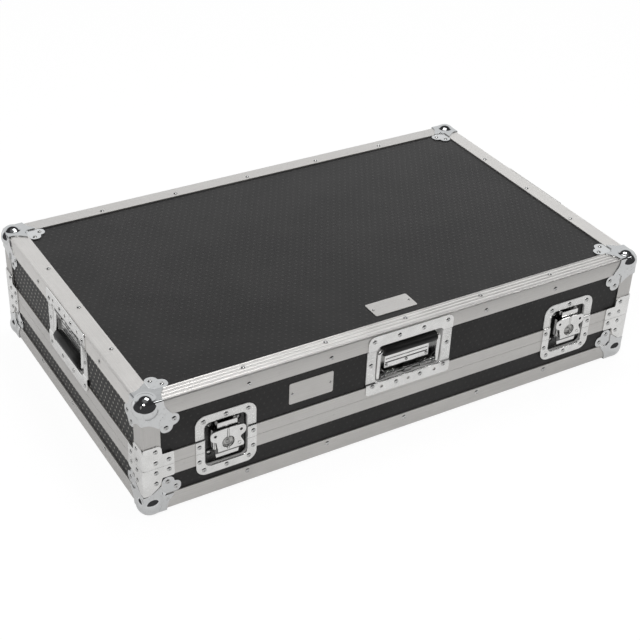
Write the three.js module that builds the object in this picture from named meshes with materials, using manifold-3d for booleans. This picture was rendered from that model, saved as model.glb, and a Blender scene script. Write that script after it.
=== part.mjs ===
// Flight case for a DJ system: a shallow base tray and a deeper hinged lid of laminated plywood,
// edged with aluminium angle, closed by a tongue-and-groove rim, two butterfly latches and a
// pair of rear hinges, and carried by three sprung bail handles.
// Millimetres. +X runs along the front, +Y to the back, +Z up. The origin is under the middle
// of the case, on the plane that the bottom ball corners stand on.
import * as THREE from 'three';
import { mergeVertices } from 'three/addons/utils/BufferGeometryUtils.js';
import Module from 'manifold-3d';

const wasm = await Module();
wasm.setup();

// Driving sizes of the whole case, over the angle extrusions
const caseLength = 950;
const caseDepth = 585;
const caseHeight = 210;
const seamHeight = 87.3; // top of the base rim above the bottom angles

// Clearances that the pieces share
const fitGap = 0.2; // between pieces that are riveted or glued together
const seamGap = 0.4; // between lid rim and base rim
const overrun = 4; // how far a cutting solid passes the faces that it cuts

// Facets of round work: per full circle, and per quarter or less for the arcs of outlines
const facets = {
  discSides: 14,
  shaftSides: 12,
  ringSides: 10,
  pinSides: 8,
  smallSides: 6,
  arcSegments: 3,
  cornerSegments: 2,
};

const panel = { thickness: 9 };
const angle = { leg: 30, wall: 2, nose: 3 };
const rim = {
  height: 22,
  wall: 2,
  web: 3,
  legDrop: 14,
  tongueInset: 5,
  tongueWidth: 2,
  tongueHeight: 5,
  grooveSide: 0.8,
  grooveTop: 0.8,
  lidWeb: 2.2,
};
const foam = { thickness: 10, topThickness: 20, gap: 0.3 };
const post = { proud: 0.25, end: 0.2 };
const leafRoom = 0.6; // left along an upright between a ball corner's leaf and the fuller skin
const sheet = { thickness: 1.5, proud: 0.2 }; // stamped steel of corners and braces

const ball = {
  radius: 21,
  shell: 1.7,
  inset: 13.5,
  edgeReach: 36.3,
  waistAcross: 37.6,
  waistAlong: 12,
  shoulderAcross: 50.5,
  shoulderAlong: 28.9,
  neck: 34,
  lobeAcross: 53,
  lobeAlong: 40,
  lobeRadius: 9,
  valley: 51.5,
  lobeStart: 30.3,
  lobeEnd: 54.5,
  lobeProud: 0.3,
  outerSegments: [12, 6],
  innerSegments: [8, 4],
};
const brace = {
  width: 30,
  armReach: 51,
  lidRise: 41.2,
  baseDrop: 49.6,
  baseShoulder: 22,
  baseTaperAcross: 26.5,
  baseTaperRise: 13.5,
  baseWaist: 12,
  armRise: 24,
  round: 8,
};

const dish = { wall: 1.3, floor: 9.3, cornerRadius: 18, step: 2 };
const latch = {
  fromEnd: 140, // of each latch's middle from the nearer end of the front
  overSeam: 12, // of the rotor's axis above the seam
  width: 105,
  tall: 112,
  openWidth: 73,
  openTall: 81.6,
  openRadius: 10,
  stepRise: 13.5,
  cheekGap: 0.5,
  cheekWall: 1.6,
  cheekLow: -10,
  cheekHigh: 22,
  cheekFront: -2,
};
const bridge = {
  halfWidth: 17.3,
  low: 28,
  high: 37.6,
  front: -3.6,
  thickness: 1.4,
  foot: 3,
  footLow: 31,
};
const hook = {
  front: -2.9,
  thickness: 1.8,
  halfWidth: 21.6,
  top: 22,
  low: -28,
  lip: 1.8,
  lipReach: 4.5,
  lipHalfWidth: 15,
  shoulder: -16,
  lowHalfWidth: 19,
  travelUp: 8,
  travelIn: 4.5,
  round: 4,
};
// The strike stands clear of the hook's plate and lip once the hook has made its travel
const strike = {
  front: hook.front + hook.thickness + hook.travelIn + 0.6,
  thickness: 1.3,
  tall: 4.5,
  low: hook.low + hook.lip + hook.travelUp + 0.5,
  halfWidth: 20.5,
  cheekWall: 2,
};
const cam = { radius: 11, offset: 4, clearance: 1.2, front: -3, back: 3.6 };
const hub = { radius: 9.5, front: -7, back: -3.8, shaftRadius: 6, dimpleRadius: 3, dimple: 1.2 };
const bearing = { radius: 9, front: 6, gap: 0.3 };
const spine = { halfWidth: 0.8, high: 26, low: -15.6, lug: 1.5, lugHalfWidth: 4.4 };
const wing = {
  front: -7.4,
  thickness: 1.8,
  pivot: 3.2,
  pivotDepth: -5.4,
  pinRadius: 0.9,
  bore: 1.25,
  knuckle: 2,
  hubClear: 10.8,
  earAcross: 22.3,
  earUp: 17,
  earRadius: 8.7,
  earHole: 2.2,
  top: 27,
  waistUp: 4,
  waistAcross: 20,
  footHigh: -9,
  footLow: -15,
  footNarrow: 18,
  footWide: 27,
  knuckleGap: 0.4,
};

const handle = {
  fromTop: 59.3, // of the dish's middle below the top angles
  halfWidth: 82,
  stripEdge: 58.1,
  gripEdge: 56,
  openHalfWidth: 64,
  openStrip: 36,
  openGrip: 34,
  openRadius: 9,
  cornerRadius: 12,
  depth: 16,
  frontStepStrip: 34.7,
  sideStepStrip: 26.8,
  gripStep: 26.8,
};
const bail = {
  pivotDepth: 5,
  pivotDrop: 28,
  gripRise: 20,
  gripDepth: 3.3,
  legAcross: 58,
  rodRadius: 4,
  pinRadius: 3,
  bend: 5,
  legEnd: 3.6,
};
const grip = { radius: 9.3, span: 103, bore: 4.4, round: 2 };
const saddle = { width: 5, middleWidth: 14, across: 50.8, radius: 4.8, bore: 3.3, low: 8 };
const spring = {
  coil: 5,
  wire: 0.7,
  inner: 22.5,
  outer: 45.5,
  curls: 8,
  sides: 5,
  stepsPerCurl: 8,
  legRise: 12,
  tail: 9,
};

const hinge = {
  fromEnd: 175, // of each hinge's middle from the nearer end of the back
  width: 66,
  leafHeight: 44,
  leaf: 1.8,
  pinOut: 4.2,
  pinUp: 2.5,
  pinRadius: 1.6,
  bore: 1.9,
  knuckle: 3.2,
  middleWidth: 24,
  endGap: 0.4,
  corner: 6,
};

// Places that follow from the sizes above
const rimDepth = rim.wall + fitGap + panel.thickness + fitGap + rim.wall;
const panelFace = angle.wall + fitGap; // depth of a board's outer face
const panelBack = panelFace + panel.thickness;
const ballProud = ball.radius - ball.inset;
const latchHeight = seamHeight + latch.overSeam;
const handleHeight = caseHeight - handle.fromTop;

// Pieces are made as solids, joined or cut, then turned into named meshes
function solid(geometry) {
  const bare = geometry.clone();
  bare.deleteAttribute('normal');
  bare.deleteAttribute('uv');
  const merged = mergeVertices(bare.index ? bare.toNonIndexed() : bare);
  return new wasm.Manifold(new wasm.Mesh({
    numProp: 3,
    vertProperties: new Float32Array(merged.attributes.position.array),
    triVerts: new Uint32Array(merged.index.array),
  }));
}

function join(pieces) {
  return pieces.reduce((whole, piece) => whole.add(piece));
}

function cut(whole, pieces) {
  return pieces.reduce((rest, piece) => rest.subtract(piece), whole);
}

function geometryOf(made) {
  const data = made.getMesh();
  const geometry = new THREE.BufferGeometry();
  geometry.setAttribute('position', new THREE.BufferAttribute(new Float32Array(data.vertProperties), 3));
  geometry.setIndex(new THREE.BufferAttribute(new Uint32Array(data.triVerts), 1));
  geometry.computeVertexNormals();
  return geometry;
}

function block(x0, x1, y0, y1, z0, z1) {
  const geometry = new THREE.BoxGeometry(x1 - x0, y1 - y0, z1 - z0);
  geometry.translate((x0 + x1) / 2, (y0 + y1) / 2, (z0 + z1) / 2);
  return solid(geometry);
}

// A flat outline in X and Z, given its thickness along Y
function plateFacingFront(shape, y0, y1, curveSegments) {
  const geometry = new THREE.ExtrudeGeometry(shape, {
    depth: y1 - y0,
    bevelEnabled: false,
    curveSegments,
  });
  geometry.rotateX(Math.PI / 2);
  geometry.translate(0, y1, 0);
  return solid(geometry);
}

// A flat outline in X and Y, given its height along Z
function plateLyingFlat(shape, z0, z1, curveSegments) {
  const geometry = new THREE.ExtrudeGeometry(shape, {
    depth: z1 - z0,
    bevelEnabled: false,
    curveSegments,
  });
  geometry.translate(0, 0, z0);
  return solid(geometry);
}

const rodAxis = { x: 'x', y: 'y', z: 'z' };
function rod(along, radius, from, to, sides, centre = [0, 0, 0]) {
  const geometry = new THREE.CylinderGeometry(radius, radius, to - from, sides);
  if (along === rodAxis.x) geometry.rotateZ(-Math.PI / 2);
  if (along === rodAxis.z) geometry.rotateX(Math.PI / 2);
  const middle = (from + to) / 2;
  geometry.translate(
    centre[0] + (along === rodAxis.x ? middle : 0),
    centre[1] + (along === rodAxis.y ? middle : 0),
    centre[2] + (along === rodAxis.z ? middle : 0),
  );
  return solid(geometry);
}

// A rectangle between two corners with its corners rounded; a radius of zero leaves a corner square
function roundedOutline(x0, x1, z0, z1, lowRadius, highRadius) {
  const shape = new THREE.Shape();
  shape.moveTo(x0 + lowRadius, z0);
  shape.lineTo(x1 - lowRadius, z0);
  if (lowRadius) shape.absarc(x1 - lowRadius, z0 + lowRadius, lowRadius, -Math.PI / 2, 0);
  shape.lineTo(x1, z1 - highRadius);
  if (highRadius) shape.absarc(x1 - highRadius, z1 - highRadius, highRadius, 0, Math.PI / 2);
  shape.lineTo(x0 + highRadius, z1);
  if (highRadius) shape.absarc(x0 + highRadius, z1 - highRadius, highRadius, Math.PI / 2, Math.PI);
  shape.lineTo(x0, z0 + lowRadius);
  if (lowRadius) shape.absarc(x0 + lowRadius, z0 + lowRadius, lowRadius, Math.PI, 1.5 * Math.PI);
  return shape;
}

// Finishes, as they look on the object
const finish = {
  aluminium: { color: 0xc9c9c6, roughness: 0.38, metalness: 0.9 },
  steel: { color: 0xd4d4d2, roughness: 0.25, metalness: 0.95 },
  chrome: { color: 0xe2e4e6, roughness: 0.1, metalness: 1 },
  laminate: { color: 0x2c2b2c, roughness: 0.5, metalness: 0 },
  rubber: { color: 0x131313, roughness: 0.6, metalness: 0 },
  foam: { color: 0x1d1d1f, roughness: 0.95, metalness: 0 },
};

function meshOf(name, made, look) {
  const mesh = new THREE.Mesh(geometryOf(made), new THREE.MeshStandardMaterial(finish[look]));
  mesh.name = name;
  return mesh;
}

// The faces of the case. Each group's own front lies in its local plane y = 0, with +Y inwards,
// and its local z = 0 on the bottom angles.
const sides = {
  front: { turn: 0, reach: caseDepth / 2, span: caseLength },
  right: { turn: Math.PI / 2, reach: caseLength / 2, span: caseDepth },
  back: { turn: Math.PI, reach: caseDepth / 2, span: caseLength },
  left: { turn: -Math.PI / 2, reach: caseLength / 2, span: caseDepth },
};

function sideGroup(side) {
  const turned = new THREE.Group();
  turned.rotation.z = side.turn;
  const placed = new THREE.Group();
  placed.position.y = -side.reach;
  turned.add(placed);
  return { turned, placed };
}

// Extrusions: an outline of [depth, height] points swept round the case or along one side
function sweptFrame(outline) {
  const corners = [[-1, -1], [1, -1], [1, 1], [-1, 1]];
  const points = [];
  for (const [sx, sy] of corners) {
    for (const [inward, up] of outline) {
      points.push(sx * (caseLength / 2 - inward), sy * (caseDepth / 2 - inward), up);
    }
  }
  const count = outline.length;
  const faces = [];
  corners.forEach((_, corner) => {
    const next = (corner + 1) % corners.length;
    outline.forEach((__, i) => {
      const j = (i + 1) % count;
      const a = corner * count + i;
      const b = corner * count + j;
      const c = next * count + j;
      const d = next * count + i;
      faces.push(a, d, c, a, c, b);
    });
  });
  return closedSolid(points, faces);
}

// One length of extrusion along local X, mitred at both ends
function mitredLength(outline, span) {
  const count = outline.length;
  const points = [];
  for (const end of [-1, 1]) {
    for (const [inward, up] of outline) {
      points.push(end * (span / 2 - inward - fitGap), inward, up);
    }
  }
  const flat = outline.map(([inward, up]) => new THREE.Vector2(inward, up));
  const caps = THREE.ShapeUtils.triangulateShape(flat, []);
  const sameWay = THREE.ShapeUtils.area(caps[0].map((i) => flat[i])) * THREE.ShapeUtils.area(flat) > 0;
  const faces = [];
  for (const cap of caps) {
    const [a, b, c] = sameWay ? cap : [...cap].reverse();
    faces.push(a, c, b, count + a, count + b, count + c);
  }
  outline.forEach((_, i) => {
    const j = (i + 1) % count;
    faces.push(i, j, count + j, i, count + j, count + i);
  });
  return closedSolid(points, faces);
}

function closedSolid(points, faces) {
  const geometry = new THREE.BufferGeometry();
  geometry.setAttribute('position', new THREE.Float32BufferAttribute(points, 3));
  geometry.setIndex(faces);
  const made = solid(geometry);
  if (made.volume() > 0) return made;
  const flipped = [];
  for (let i = 0; i < faces.length; i += 3) flipped.push(faces[i], faces[i + 2], faces[i + 1]);
  geometry.setIndex(flipped);
  return solid(geometry);
}

// Section of the edge angle, its nose rounded, legs running inwards and down from the top edge
function angleSection(edge, towards) {
  const bend = angle.nose * (1 - Math.SQRT1_2);
  return [
    [0, edge + towards * angle.leg],
    [0, edge + towards * angle.nose],
    [bend, edge + towards * bend],
    [angle.nose, edge],
    [angle.leg, edge],
    [angle.leg, edge + towards * angle.wall],
    [angle.wall, edge + towards * angle.wall],
    [angle.wall, edge + towards * angle.leg],
  ];
}

function baseRimSection() {
  const top = seamHeight;
  const inside = rimDepth - rim.wall;
  const tongueBack = rim.tongueInset + rim.tongueWidth;
  return [
    [0, top - rim.height],
    [0, top],
    [rim.tongueInset, top],
    [rim.tongueInset, top + rim.tongueHeight],
    [tongueBack, top + rim.tongueHeight],
    [tongueBack, top],
    [rimDepth, top],
    [rimDepth, top - rim.legDrop],
    [inside, top - rim.legDrop],
    [inside, top - rim.web],
    [rim.wall, top - rim.web],
    [rim.wall, top - rim.height],
  ];
}

const lidRimWebLow = rim.tongueHeight + rim.grooveTop;
const lidRimWebHigh = lidRimWebLow + rim.lidWeb;
function lidRimSection() {
  const low = seamHeight + seamGap;
  const grooveFront = rim.tongueInset - rim.grooveSide;
  const grooveBack = rim.tongueInset + rim.tongueWidth + rim.grooveSide;
  const inside = rimDepth - rim.wall;
  return [
    [0, low],
    [grooveFront, low],
    [grooveFront, seamHeight + lidRimWebLow],
    [grooveBack, seamHeight + lidRimWebLow],
    [grooveBack, low],
    [rimDepth, low],
    [rimDepth, seamHeight + lidRimWebHigh + rim.wall + rim.web],
    [inside, seamHeight + lidRimWebHigh + rim.wall + rim.web],
    [inside, seamHeight + lidRimWebHigh],
    [rim.wall, seamHeight + lidRimWebHigh],
    [rim.wall, seamHeight + rim.height],
    [0, seamHeight + rim.height],
  ];
}

// Cutting solids, in whole-case coordinates, for what is let into the walls
function letIn(side, x0, x1, depth, z0, z1) {
  const geometry = new THREE.BoxGeometry(x1 - x0, depth + overrun, z1 - z0);
  geometry.translate((x0 + x1) / 2, (depth - overrun) / 2 - side.reach, (z0 + z1) / 2);
  geometry.rotateZ(side.turn);
  return solid(geometry);
}

const latchAcross = caseLength / 2 - latch.fromEnd;
const latchPlaces = [
  { name: 'left', x: -latchAcross },
  { name: 'right', x: latchAcross },
];
const trayOut = dish.wall + fitGap;

function latchCuts(depth) {
  const half = latch.openWidth / 2 + trayOut;
  const tall = latch.openTall / 2 + trayOut;
  return latchPlaces.map(({ x }) => letIn(
    sides.front, x - half, x + half, depth, latchHeight - tall, latchHeight + tall,
  ));
}

const handlePlaces = [
  { name: 'front', side: sides.front, turnedOver: false },
  { name: 'left', side: sides.left, turnedOver: true },
  { name: 'right', side: sides.right, turnedOver: true },
];

function handleCut({ side, turnedOver }, depth) {
  const half = handle.openHalfWidth + trayOut;
  const low = (turnedOver ? handle.openGrip : handle.openStrip) + trayOut;
  const high = (turnedOver ? handle.openStrip : handle.openGrip) + trayOut;
  return letIn(side, -half, half, depth, handleHeight - low, handleHeight + high);
}

// Boards
function boards() {
  const outLength = caseLength / 2 - panelFace;
  const outDepth = caseDepth / 2 - panelFace;
  const inLength = caseLength / 2 - panelBack;
  const inDepth = caseDepth / 2 - panelBack;
  const floorTop = panelFace + panel.thickness;
  const roofLow = caseHeight - panelFace - panel.thickness;
  const lidWallLow = seamHeight + lidRimWebHigh + fitGap;
  const baseWallHigh = seamHeight - rim.web - fitGap;
  const through = panelBack + overrun;
  const endWallDepth = inDepth - fitGap;
  const frontLid = cut(
    block(-outLength, outLength, -outDepth, -inDepth, lidWallLow, roofLow - fitGap),
    [...latchCuts(through), handleCut(handlePlaces[0], through)],
  );
  const frontBase = cut(
    block(-outLength, outLength, -outDepth, -inDepth, floorTop + fitGap, baseWallHigh),
    latchCuts(through),
  );
  const leftLid = block(-outLength, -inLength, -endWallDepth, endWallDepth, lidWallLow, roofLow - fitGap);
  const rightLid = block(inLength, outLength, -endWallDepth, endWallDepth, lidWallLow, roofLow - fitGap);
  return {
    base: [
      meshOf('base_floor_board', block(-outLength, outLength, -outDepth, outDepth, panelFace, floorTop), 'laminate'),
      meshOf('base_front_board', frontBase, 'laminate'),
      meshOf(
        'base_back_board',
        block(-outLength, outLength, inDepth, outDepth, floorTop + fitGap, baseWallHigh),
        'laminate',
      ),
      meshOf(
        'base_left_board',
        block(-outLength, -inLength, -endWallDepth, endWallDepth, floorTop + fitGap, baseWallHigh),
        'laminate',
      ),
      meshOf(
        'base_right_board',
        block(inLength, outLength, -endWallDepth, endWallDepth, floorTop + fitGap, baseWallHigh),
        'laminate',
      ),
    ],
    lid: [
      meshOf(
        'lid_top_board',
        block(-outLength, outLength, -outDepth, outDepth, roofLow, caseHeight - panelFace),
        'laminate',
      ),
      meshOf('lid_front_board', frontLid, 'laminate'),
      meshOf(
        'lid_back_board',
        block(-outLength, outLength, inDepth, outDepth, lidWallLow, roofLow - fitGap),
        'laminate',
      ),
      meshOf('lid_left_board', leftLid.subtract(handleCut(handlePlaces[1], through)), 'laminate'),
      meshOf('lid_right_board', rightLid.subtract(handleCut(handlePlaces[2], through)), 'laminate'),
    ],
  };
}

// Foam linings, glued inside the boards
function foamLinings() {
  const outX = caseLength / 2 - panelBack - foam.gap;
  const outY = caseDepth / 2 - panelBack - foam.gap;
  const inX = outX - foam.thickness;
  const inY = outY - foam.thickness;
  const baseLow = panelBack + foam.gap;
  const baseHigh = seamHeight - rim.legDrop - foam.gap;
  const lidHigh = caseHeight - panelBack - foam.gap;
  const lidLow = seamHeight + lidRimWebHigh + rim.wall + rim.web + foam.gap;
  const pocketDepth = panelBack + foam.gap + foam.thickness + overrun;
  const base = cut(
    block(-outX, outX, -outY, outY, baseLow, baseHigh),
    [block(-inX, inX, -inY, inY, baseLow + foam.thickness, baseHigh + overrun)],
  );
  const lid = cut(
    block(-outX, outX, -outY, outY, lidLow, lidHigh),
    [
      block(-inX, inX, -inY, inY, lidLow - overrun, lidHigh - foam.topThickness),
      ...handlePlaces.map((place) => handleCut(place, pocketDepth)),
    ],
  );
  return {
    base: meshOf('base_foam_lining', base, 'foam'),
    lid: meshOf('lid_foam_lining', lid, 'foam'),
  };
}

// Aluminium angles and the two rims
function extrusions() {
  const notch = panelFace + overrun;
  const topLengths = Object.entries(sides).map(([name, side]) => {
    const { turned, placed } = sideGroup(side);
    let length = mitredLength(angleSection(caseHeight, -1), side.span);
    const place = handlePlaces.find((one) => one.side === side);
    if (place) {
      const half = handle.openHalfWidth + trayOut;
      const high = (place.turnedOver ? handle.openStrip : handle.openGrip) + trayOut;
      const low = caseHeight - angle.leg - overrun;
      length = length.subtract(block(-half, half, -overrun, notch, low, handleHeight + high));
    }
    placed.add(meshOf(`top_angle_${name}`, length, 'aluminium'));
    return turned;
  });
  const rimCutDepth = dish.floor + dish.wall + fitGap;
  return {
    base: [
      meshOf('bottom_angle_frame', sweptFrame(angleSection(0, 1)), 'aluminium'),
      meshOf('base_rim_tongue', cut(sweptFrame(baseRimSection()), latchCuts(rimCutDepth)), 'aluminium'),
    ],
    lid: [
      ...topLengths,
      meshOf('lid_rim_groove', cut(sweptFrame(lidRimSection()), latchCuts(rimCutDepth)), 'aluminium'),
    ],
  };
}

// Corners of the case. A corner piece is made for the front left, in coordinates that run
// inwards from the corner: x along the front, y along the left side, z up from the bottom angles.
const caseCorners = [
  { name: 'front_left', sx: 1, sy: 1 },
  { name: 'front_right', sx: -1, sy: 1 },
  { name: 'back_left', sx: 1, sy: -1 },
  { name: 'back_right', sx: -1, sy: -1 },
];

function mirrored(made, sx, sy, sz, dx, dy, dz) {
  const geometry = geometryOf(made);
  geometry.scale(sx, sy, sz);
  geometry.translate(dx, dy, dz);
  if (sx * sy * sz < 0) {
    const index = geometry.index.array;
    for (let i = 0; i < index.length; i += 3) {
      const kept = index[i + 1];
      index[i + 1] = index[i + 2];
      index[i + 2] = kept;
    }
  }
  return solid(geometry);
}

function atCorner(made, { sx, sy }, sz = 1, dz = 0) {
  return mirrored(made, sx, sy, sz, -sx * caseLength / 2, -sy * caseDepth / 2, dz);
}

// Raised part of a ball corner's leaf, lying over two edge angles
function leafOutline() {
  const rimOut = -sheet.proud - sheet.thickness;
  const shape = new THREE.Shape();
  shape.moveTo(rimOut, rimOut);
  shape.lineTo(ball.edgeReach, rimOut);
  shape.lineTo(ball.edgeReach, 0);
  shape.quadraticCurveTo(ball.waistAcross, ball.waistAlong, ball.shoulderAcross, ball.shoulderAlong);
  shape.lineTo(ball.neck, ball.shoulderAlong);
  shape.lineTo(ball.neck, ball.neck);
  shape.lineTo(ball.shoulderAlong, ball.neck);
  shape.lineTo(ball.shoulderAlong, ball.shoulderAcross);
  shape.quadraticCurveTo(ball.waistAlong, ball.waistAcross, 0, ball.edgeReach);
  shape.lineTo(rimOut, ball.edgeReach);
  return shape;
}

// Lowered part with the two rivet lobes, lying on the board
function lobeOutline() {
  const shape = new THREE.Shape();
  const { lobeStart, lobeEnd, lobeAcross, lobeAlong, lobeRadius, valley } = ball;
  shape.moveTo(lobeStart, lobeStart);
  shape.lineTo(lobeEnd, lobeStart);
  shape.absarc(lobeAcross, lobeAlong, lobeRadius, -Math.PI / 3, Math.PI / 3);
  shape.lineTo(valley, valley);
  shape.absarc(lobeAlong, lobeAcross, lobeRadius, Math.PI / 6, 5 * Math.PI / 6);
  shape.lineTo(lobeStart, lobeEnd);
  return shape;
}

function ballCorner() {
  const outer = -sheet.proud - sheet.thickness;
  const leafOnFace = plateLyingFlat(leafOutline(), outer, -sheet.proud, facets.cornerSegments);
  const lobeTop = panelFace - ball.lobeProud - sheet.thickness;
  const lobesOnFace = join([
    plateLyingFlat(lobeOutline(), lobeTop, lobeTop + sheet.thickness, facets.arcSegments),
    block(ball.lobeStart, ball.neck, ball.lobeStart, ball.neck, outer, lobeTop + sheet.thickness),
  ]);
  const onThreeFaces = (made) => {
    const onSide = made.rotate([0, -90, 0]).mirror([1, 0, 0]);
    const onFront = made.rotate([90, 0, 0]).mirror([0, 1, 0]);
    return [made, onSide, onFront];
  };
  const dome = (radius, [around, over]) => {
    const sphere = new THREE.SphereGeometry(radius, around, over);
    sphere.translate(ball.inset, ball.inset, ball.inset);
    return solid(sphere);
  };
  const far = ball.shoulderAcross + overrun;
  const shell = join([dome(ball.radius, ball.outerSegments), ...onThreeFaces(leafOnFace)])
    .subtract(dome(ball.radius - ball.shell, ball.innerSegments))
    .subtract(block(-sheet.proud, far, -sheet.proud, far, -sheet.proud, far));
  return join([shell, ...onThreeFaces(lobesOnFace)]);
}

// A brace folded round a vertical corner, beside the rim, on the short upright angle behind it
function braceOutline(forLid) {
  const rimOut = -sheet.proud - sheet.thickness;
  const shape = new THREE.Shape();
  if (forLid) {
    const low = seamHeight + seamGap;
    const high = seamHeight + brace.lidRise;
    shape.moveTo(rimOut, low);
    shape.lineTo(brace.armReach, low);
    shape.lineTo(brace.armReach, seamHeight + brace.armRise);
    shape.lineTo(brace.width, seamHeight + brace.armRise);
    shape.lineTo(brace.width, high - brace.round);
    shape.absarc(brace.width - brace.round, high - brace.round, brace.round, 0, Math.PI / 2);
    shape.lineTo(rimOut, high);
    return shape;
  }
  const high = seamHeight;
  const low = seamHeight - brace.baseDrop;
  shape.moveTo(rimOut, high);
  shape.lineTo(rimOut, low);
  shape.lineTo(0, low);
  shape.quadraticCurveTo(brace.baseWaist, low, brace.baseTaperAcross, low + brace.baseTaperRise);
  shape.lineTo(brace.width, seamHeight - brace.baseShoulder);
  shape.lineTo(brace.armReach, seamHeight - brace.baseShoulder);
  shape.lineTo(brace.armReach, high);
  return shape;
}

function uprightOutline() {
  const shape = new THREE.Shape();
  const out = -post.proud;
  shape.moveTo(out + angle.nose, out);
  shape.lineTo(angle.leg, out);
  shape.lineTo(angle.leg, angle.wall);
  shape.lineTo(angle.wall, angle.wall);
  shape.lineTo(angle.wall, angle.leg);
  shape.lineTo(out, angle.leg);
  shape.lineTo(out, out + angle.nose);
  shape.absarc(out + angle.nose, out + angle.nose, angle.nose, Math.PI, 1.5 * Math.PI);
  return shape;
}

function bracedUpright(forLid) {
  const outer = -sheet.proud - sheet.thickness;
  const onFront = plateFacingFront(braceOutline(forLid), outer, -sheet.proud, facets.arcSegments);
  const onSide = onFront.rotate([0, 0, 90]).mirror([1, 0, 0]);
  const low = forLid ? seamHeight + rim.height + post.end : angle.leg + post.end;
  const high = forLid ? caseHeight - angle.leg - post.end : seamHeight - rim.height - post.end;
  const leafEnd = ball.shoulderAcross + leafRoom;
  const underLeafLow = forLid ? caseHeight - leafEnd : 0;
  const underLeafHigh = forLid ? caseHeight : leafEnd;
  const far = angle.leg + overrun;
  const skin = -post.proud - overrun;
  const upright = plateLyingFlat(uprightOutline(), low, high, facets.cornerSegments)
    .subtract(block(skin, far, skin, 0, underLeafLow, underLeafHigh))
    .subtract(block(skin, 0, skin, far, underLeafLow, underLeafHigh));
  return join([onFront, onSide, upright]);
}

function cornerPieces() {
  const corner = ballCorner();
  const baseUpright = bracedUpright(false);
  const lidUpright = bracedUpright(true);
  const base = [];
  const lid = [];
  for (const place of caseCorners) {
    base.push(meshOf(`bottom_ball_corner_${place.name}`, atCorner(corner, place), 'chrome'));
    base.push(meshOf(`base_corner_brace_${place.name}`, atCorner(baseUpright, place), 'steel'));
    lid.push(meshOf(`top_ball_corner_${place.name}`, atCorner(corner, place, -1, caseHeight), 'chrome'));
    lid.push(meshOf(`lid_corner_brace_${place.name}`, atCorner(lidUpright, place), 'steel'));
  }
  return { base, lid };
}

// Butterfly latch. Its coordinates: x and z from the rotor's axis, y inwards from the face.
const latchSeam = -latch.overSeam;

function latchDishBlank() {
  const halfWidth = latch.width / 2;
  const halfTall = latch.tall / 2;
  const openHalf = latch.openWidth / 2;
  const openTall = latch.openTall / 2;
  const flangeFront = -fitGap - dish.wall;
  const lowFront = flangeFront + dish.step;
  const radius = dish.cornerRadius;
  const raised = plateFacingFront(
    roundedOutline(-halfWidth, halfWidth, -halfTall, latch.stepRise, radius, 0),
    flangeFront, -fitGap, facets.arcSegments,
  );
  const lowered = plateFacingFront(
    roundedOutline(-halfWidth, halfWidth, latch.stepRise - dish.step, halfTall, 0, radius),
    lowFront, lowFront + dish.wall, facets.arcSegments,
  );
  const step = block(
    -halfWidth, halfWidth, flangeFront, lowFront + dish.wall, latch.stepRise - dish.step, latch.stepRise,
  );
  const trayOutline = roundedOutline(
    -openHalf - dish.wall, openHalf + dish.wall, -openTall - dish.wall, openTall + dish.wall,
    latch.openRadius + dish.wall, latch.openRadius + dish.wall,
  );
  const tray = plateFacingFront(trayOutline, lowFront, dish.floor + dish.wall, facets.cornerSegments);
  const trayFront = plateFacingFront(trayOutline, flangeFront, dish.floor, facets.cornerSegments).intersect(
    block(-halfWidth, halfWidth, flangeFront - overrun, dish.floor, -halfTall, latch.stepRise),
  );
  const hollow = plateFacingFront(
    roundedOutline(-openHalf, openHalf, -openTall, openTall, latch.openRadius, latch.openRadius),
    flangeFront - overrun, dish.floor, facets.cornerSegments,
  );
  return join([raised, lowered, step, tray, trayFront]).subtract(hollow);
}

function zoneAcross(z0, z1) {
  const far = latch.width;
  return block(-far, far, -far, far, z0, z1);
}

function latchLidDish() {
  const body = latchDishBlank().intersect(zoneAcross(latchSeam + seamGap, latch.tall));
  const cheekInner = hook.halfWidth + latch.cheekGap;
  const cheeks = [-1, 1].map((hand) => {
    const near = hand * cheekInner;
    const far = hand * (cheekInner + latch.cheekWall);
    return block(
      Math.min(near, far), Math.max(near, far), latch.cheekFront, dish.floor + fitGap,
      latch.cheekLow, latch.cheekHigh,
    );
  });
  const bar = block(
    -bridge.halfWidth, bridge.halfWidth, bridge.front, bridge.front + bridge.thickness,
    bridge.low, bridge.high,
  );
  const feet = [-1, 1].map((hand) => {
    const outerX = hand * bridge.halfWidth;
    const innerX = hand * (bridge.halfWidth - bridge.foot);
    return block(
      Math.min(outerX, innerX), Math.max(outerX, innerX), bridge.front, dish.floor + fitGap,
      bridge.footLow, bridge.high,
    );
  });
  const boss = rod(rodAxis.y, bearing.radius, bearing.front, dish.floor + fitGap, facets.shaftSides);
  const bore = rod(
    rodAxis.y, hub.shaftRadius + bearing.gap, bearing.front - overrun, dish.floor + dish.wall + overrun,
    facets.shaftSides,
  );
  return join([body, ...cheeks, bar, ...feet, boss]).subtract(bore);
}

function latchBaseDish() {
  const body = latchDishBlank().intersect(zoneAcross(-latch.tall, latchSeam));
  const half = strike.halfWidth;
  const bar = block(-half, half, strike.front, strike.front + strike.thickness, strike.low, strike.low + strike.tall);
  const cheeks = [-1, 1].map((hand) => {
    const outerX = hand * half;
    const innerX = hand * (half - strike.cheekWall);
    return block(
      Math.min(outerX, innerX), Math.max(outerX, innerX), strike.front, dish.floor + fitGap,
      strike.low, strike.low + strike.tall,
    );
  });
  return join([body, bar, ...cheeks]);
}

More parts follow.
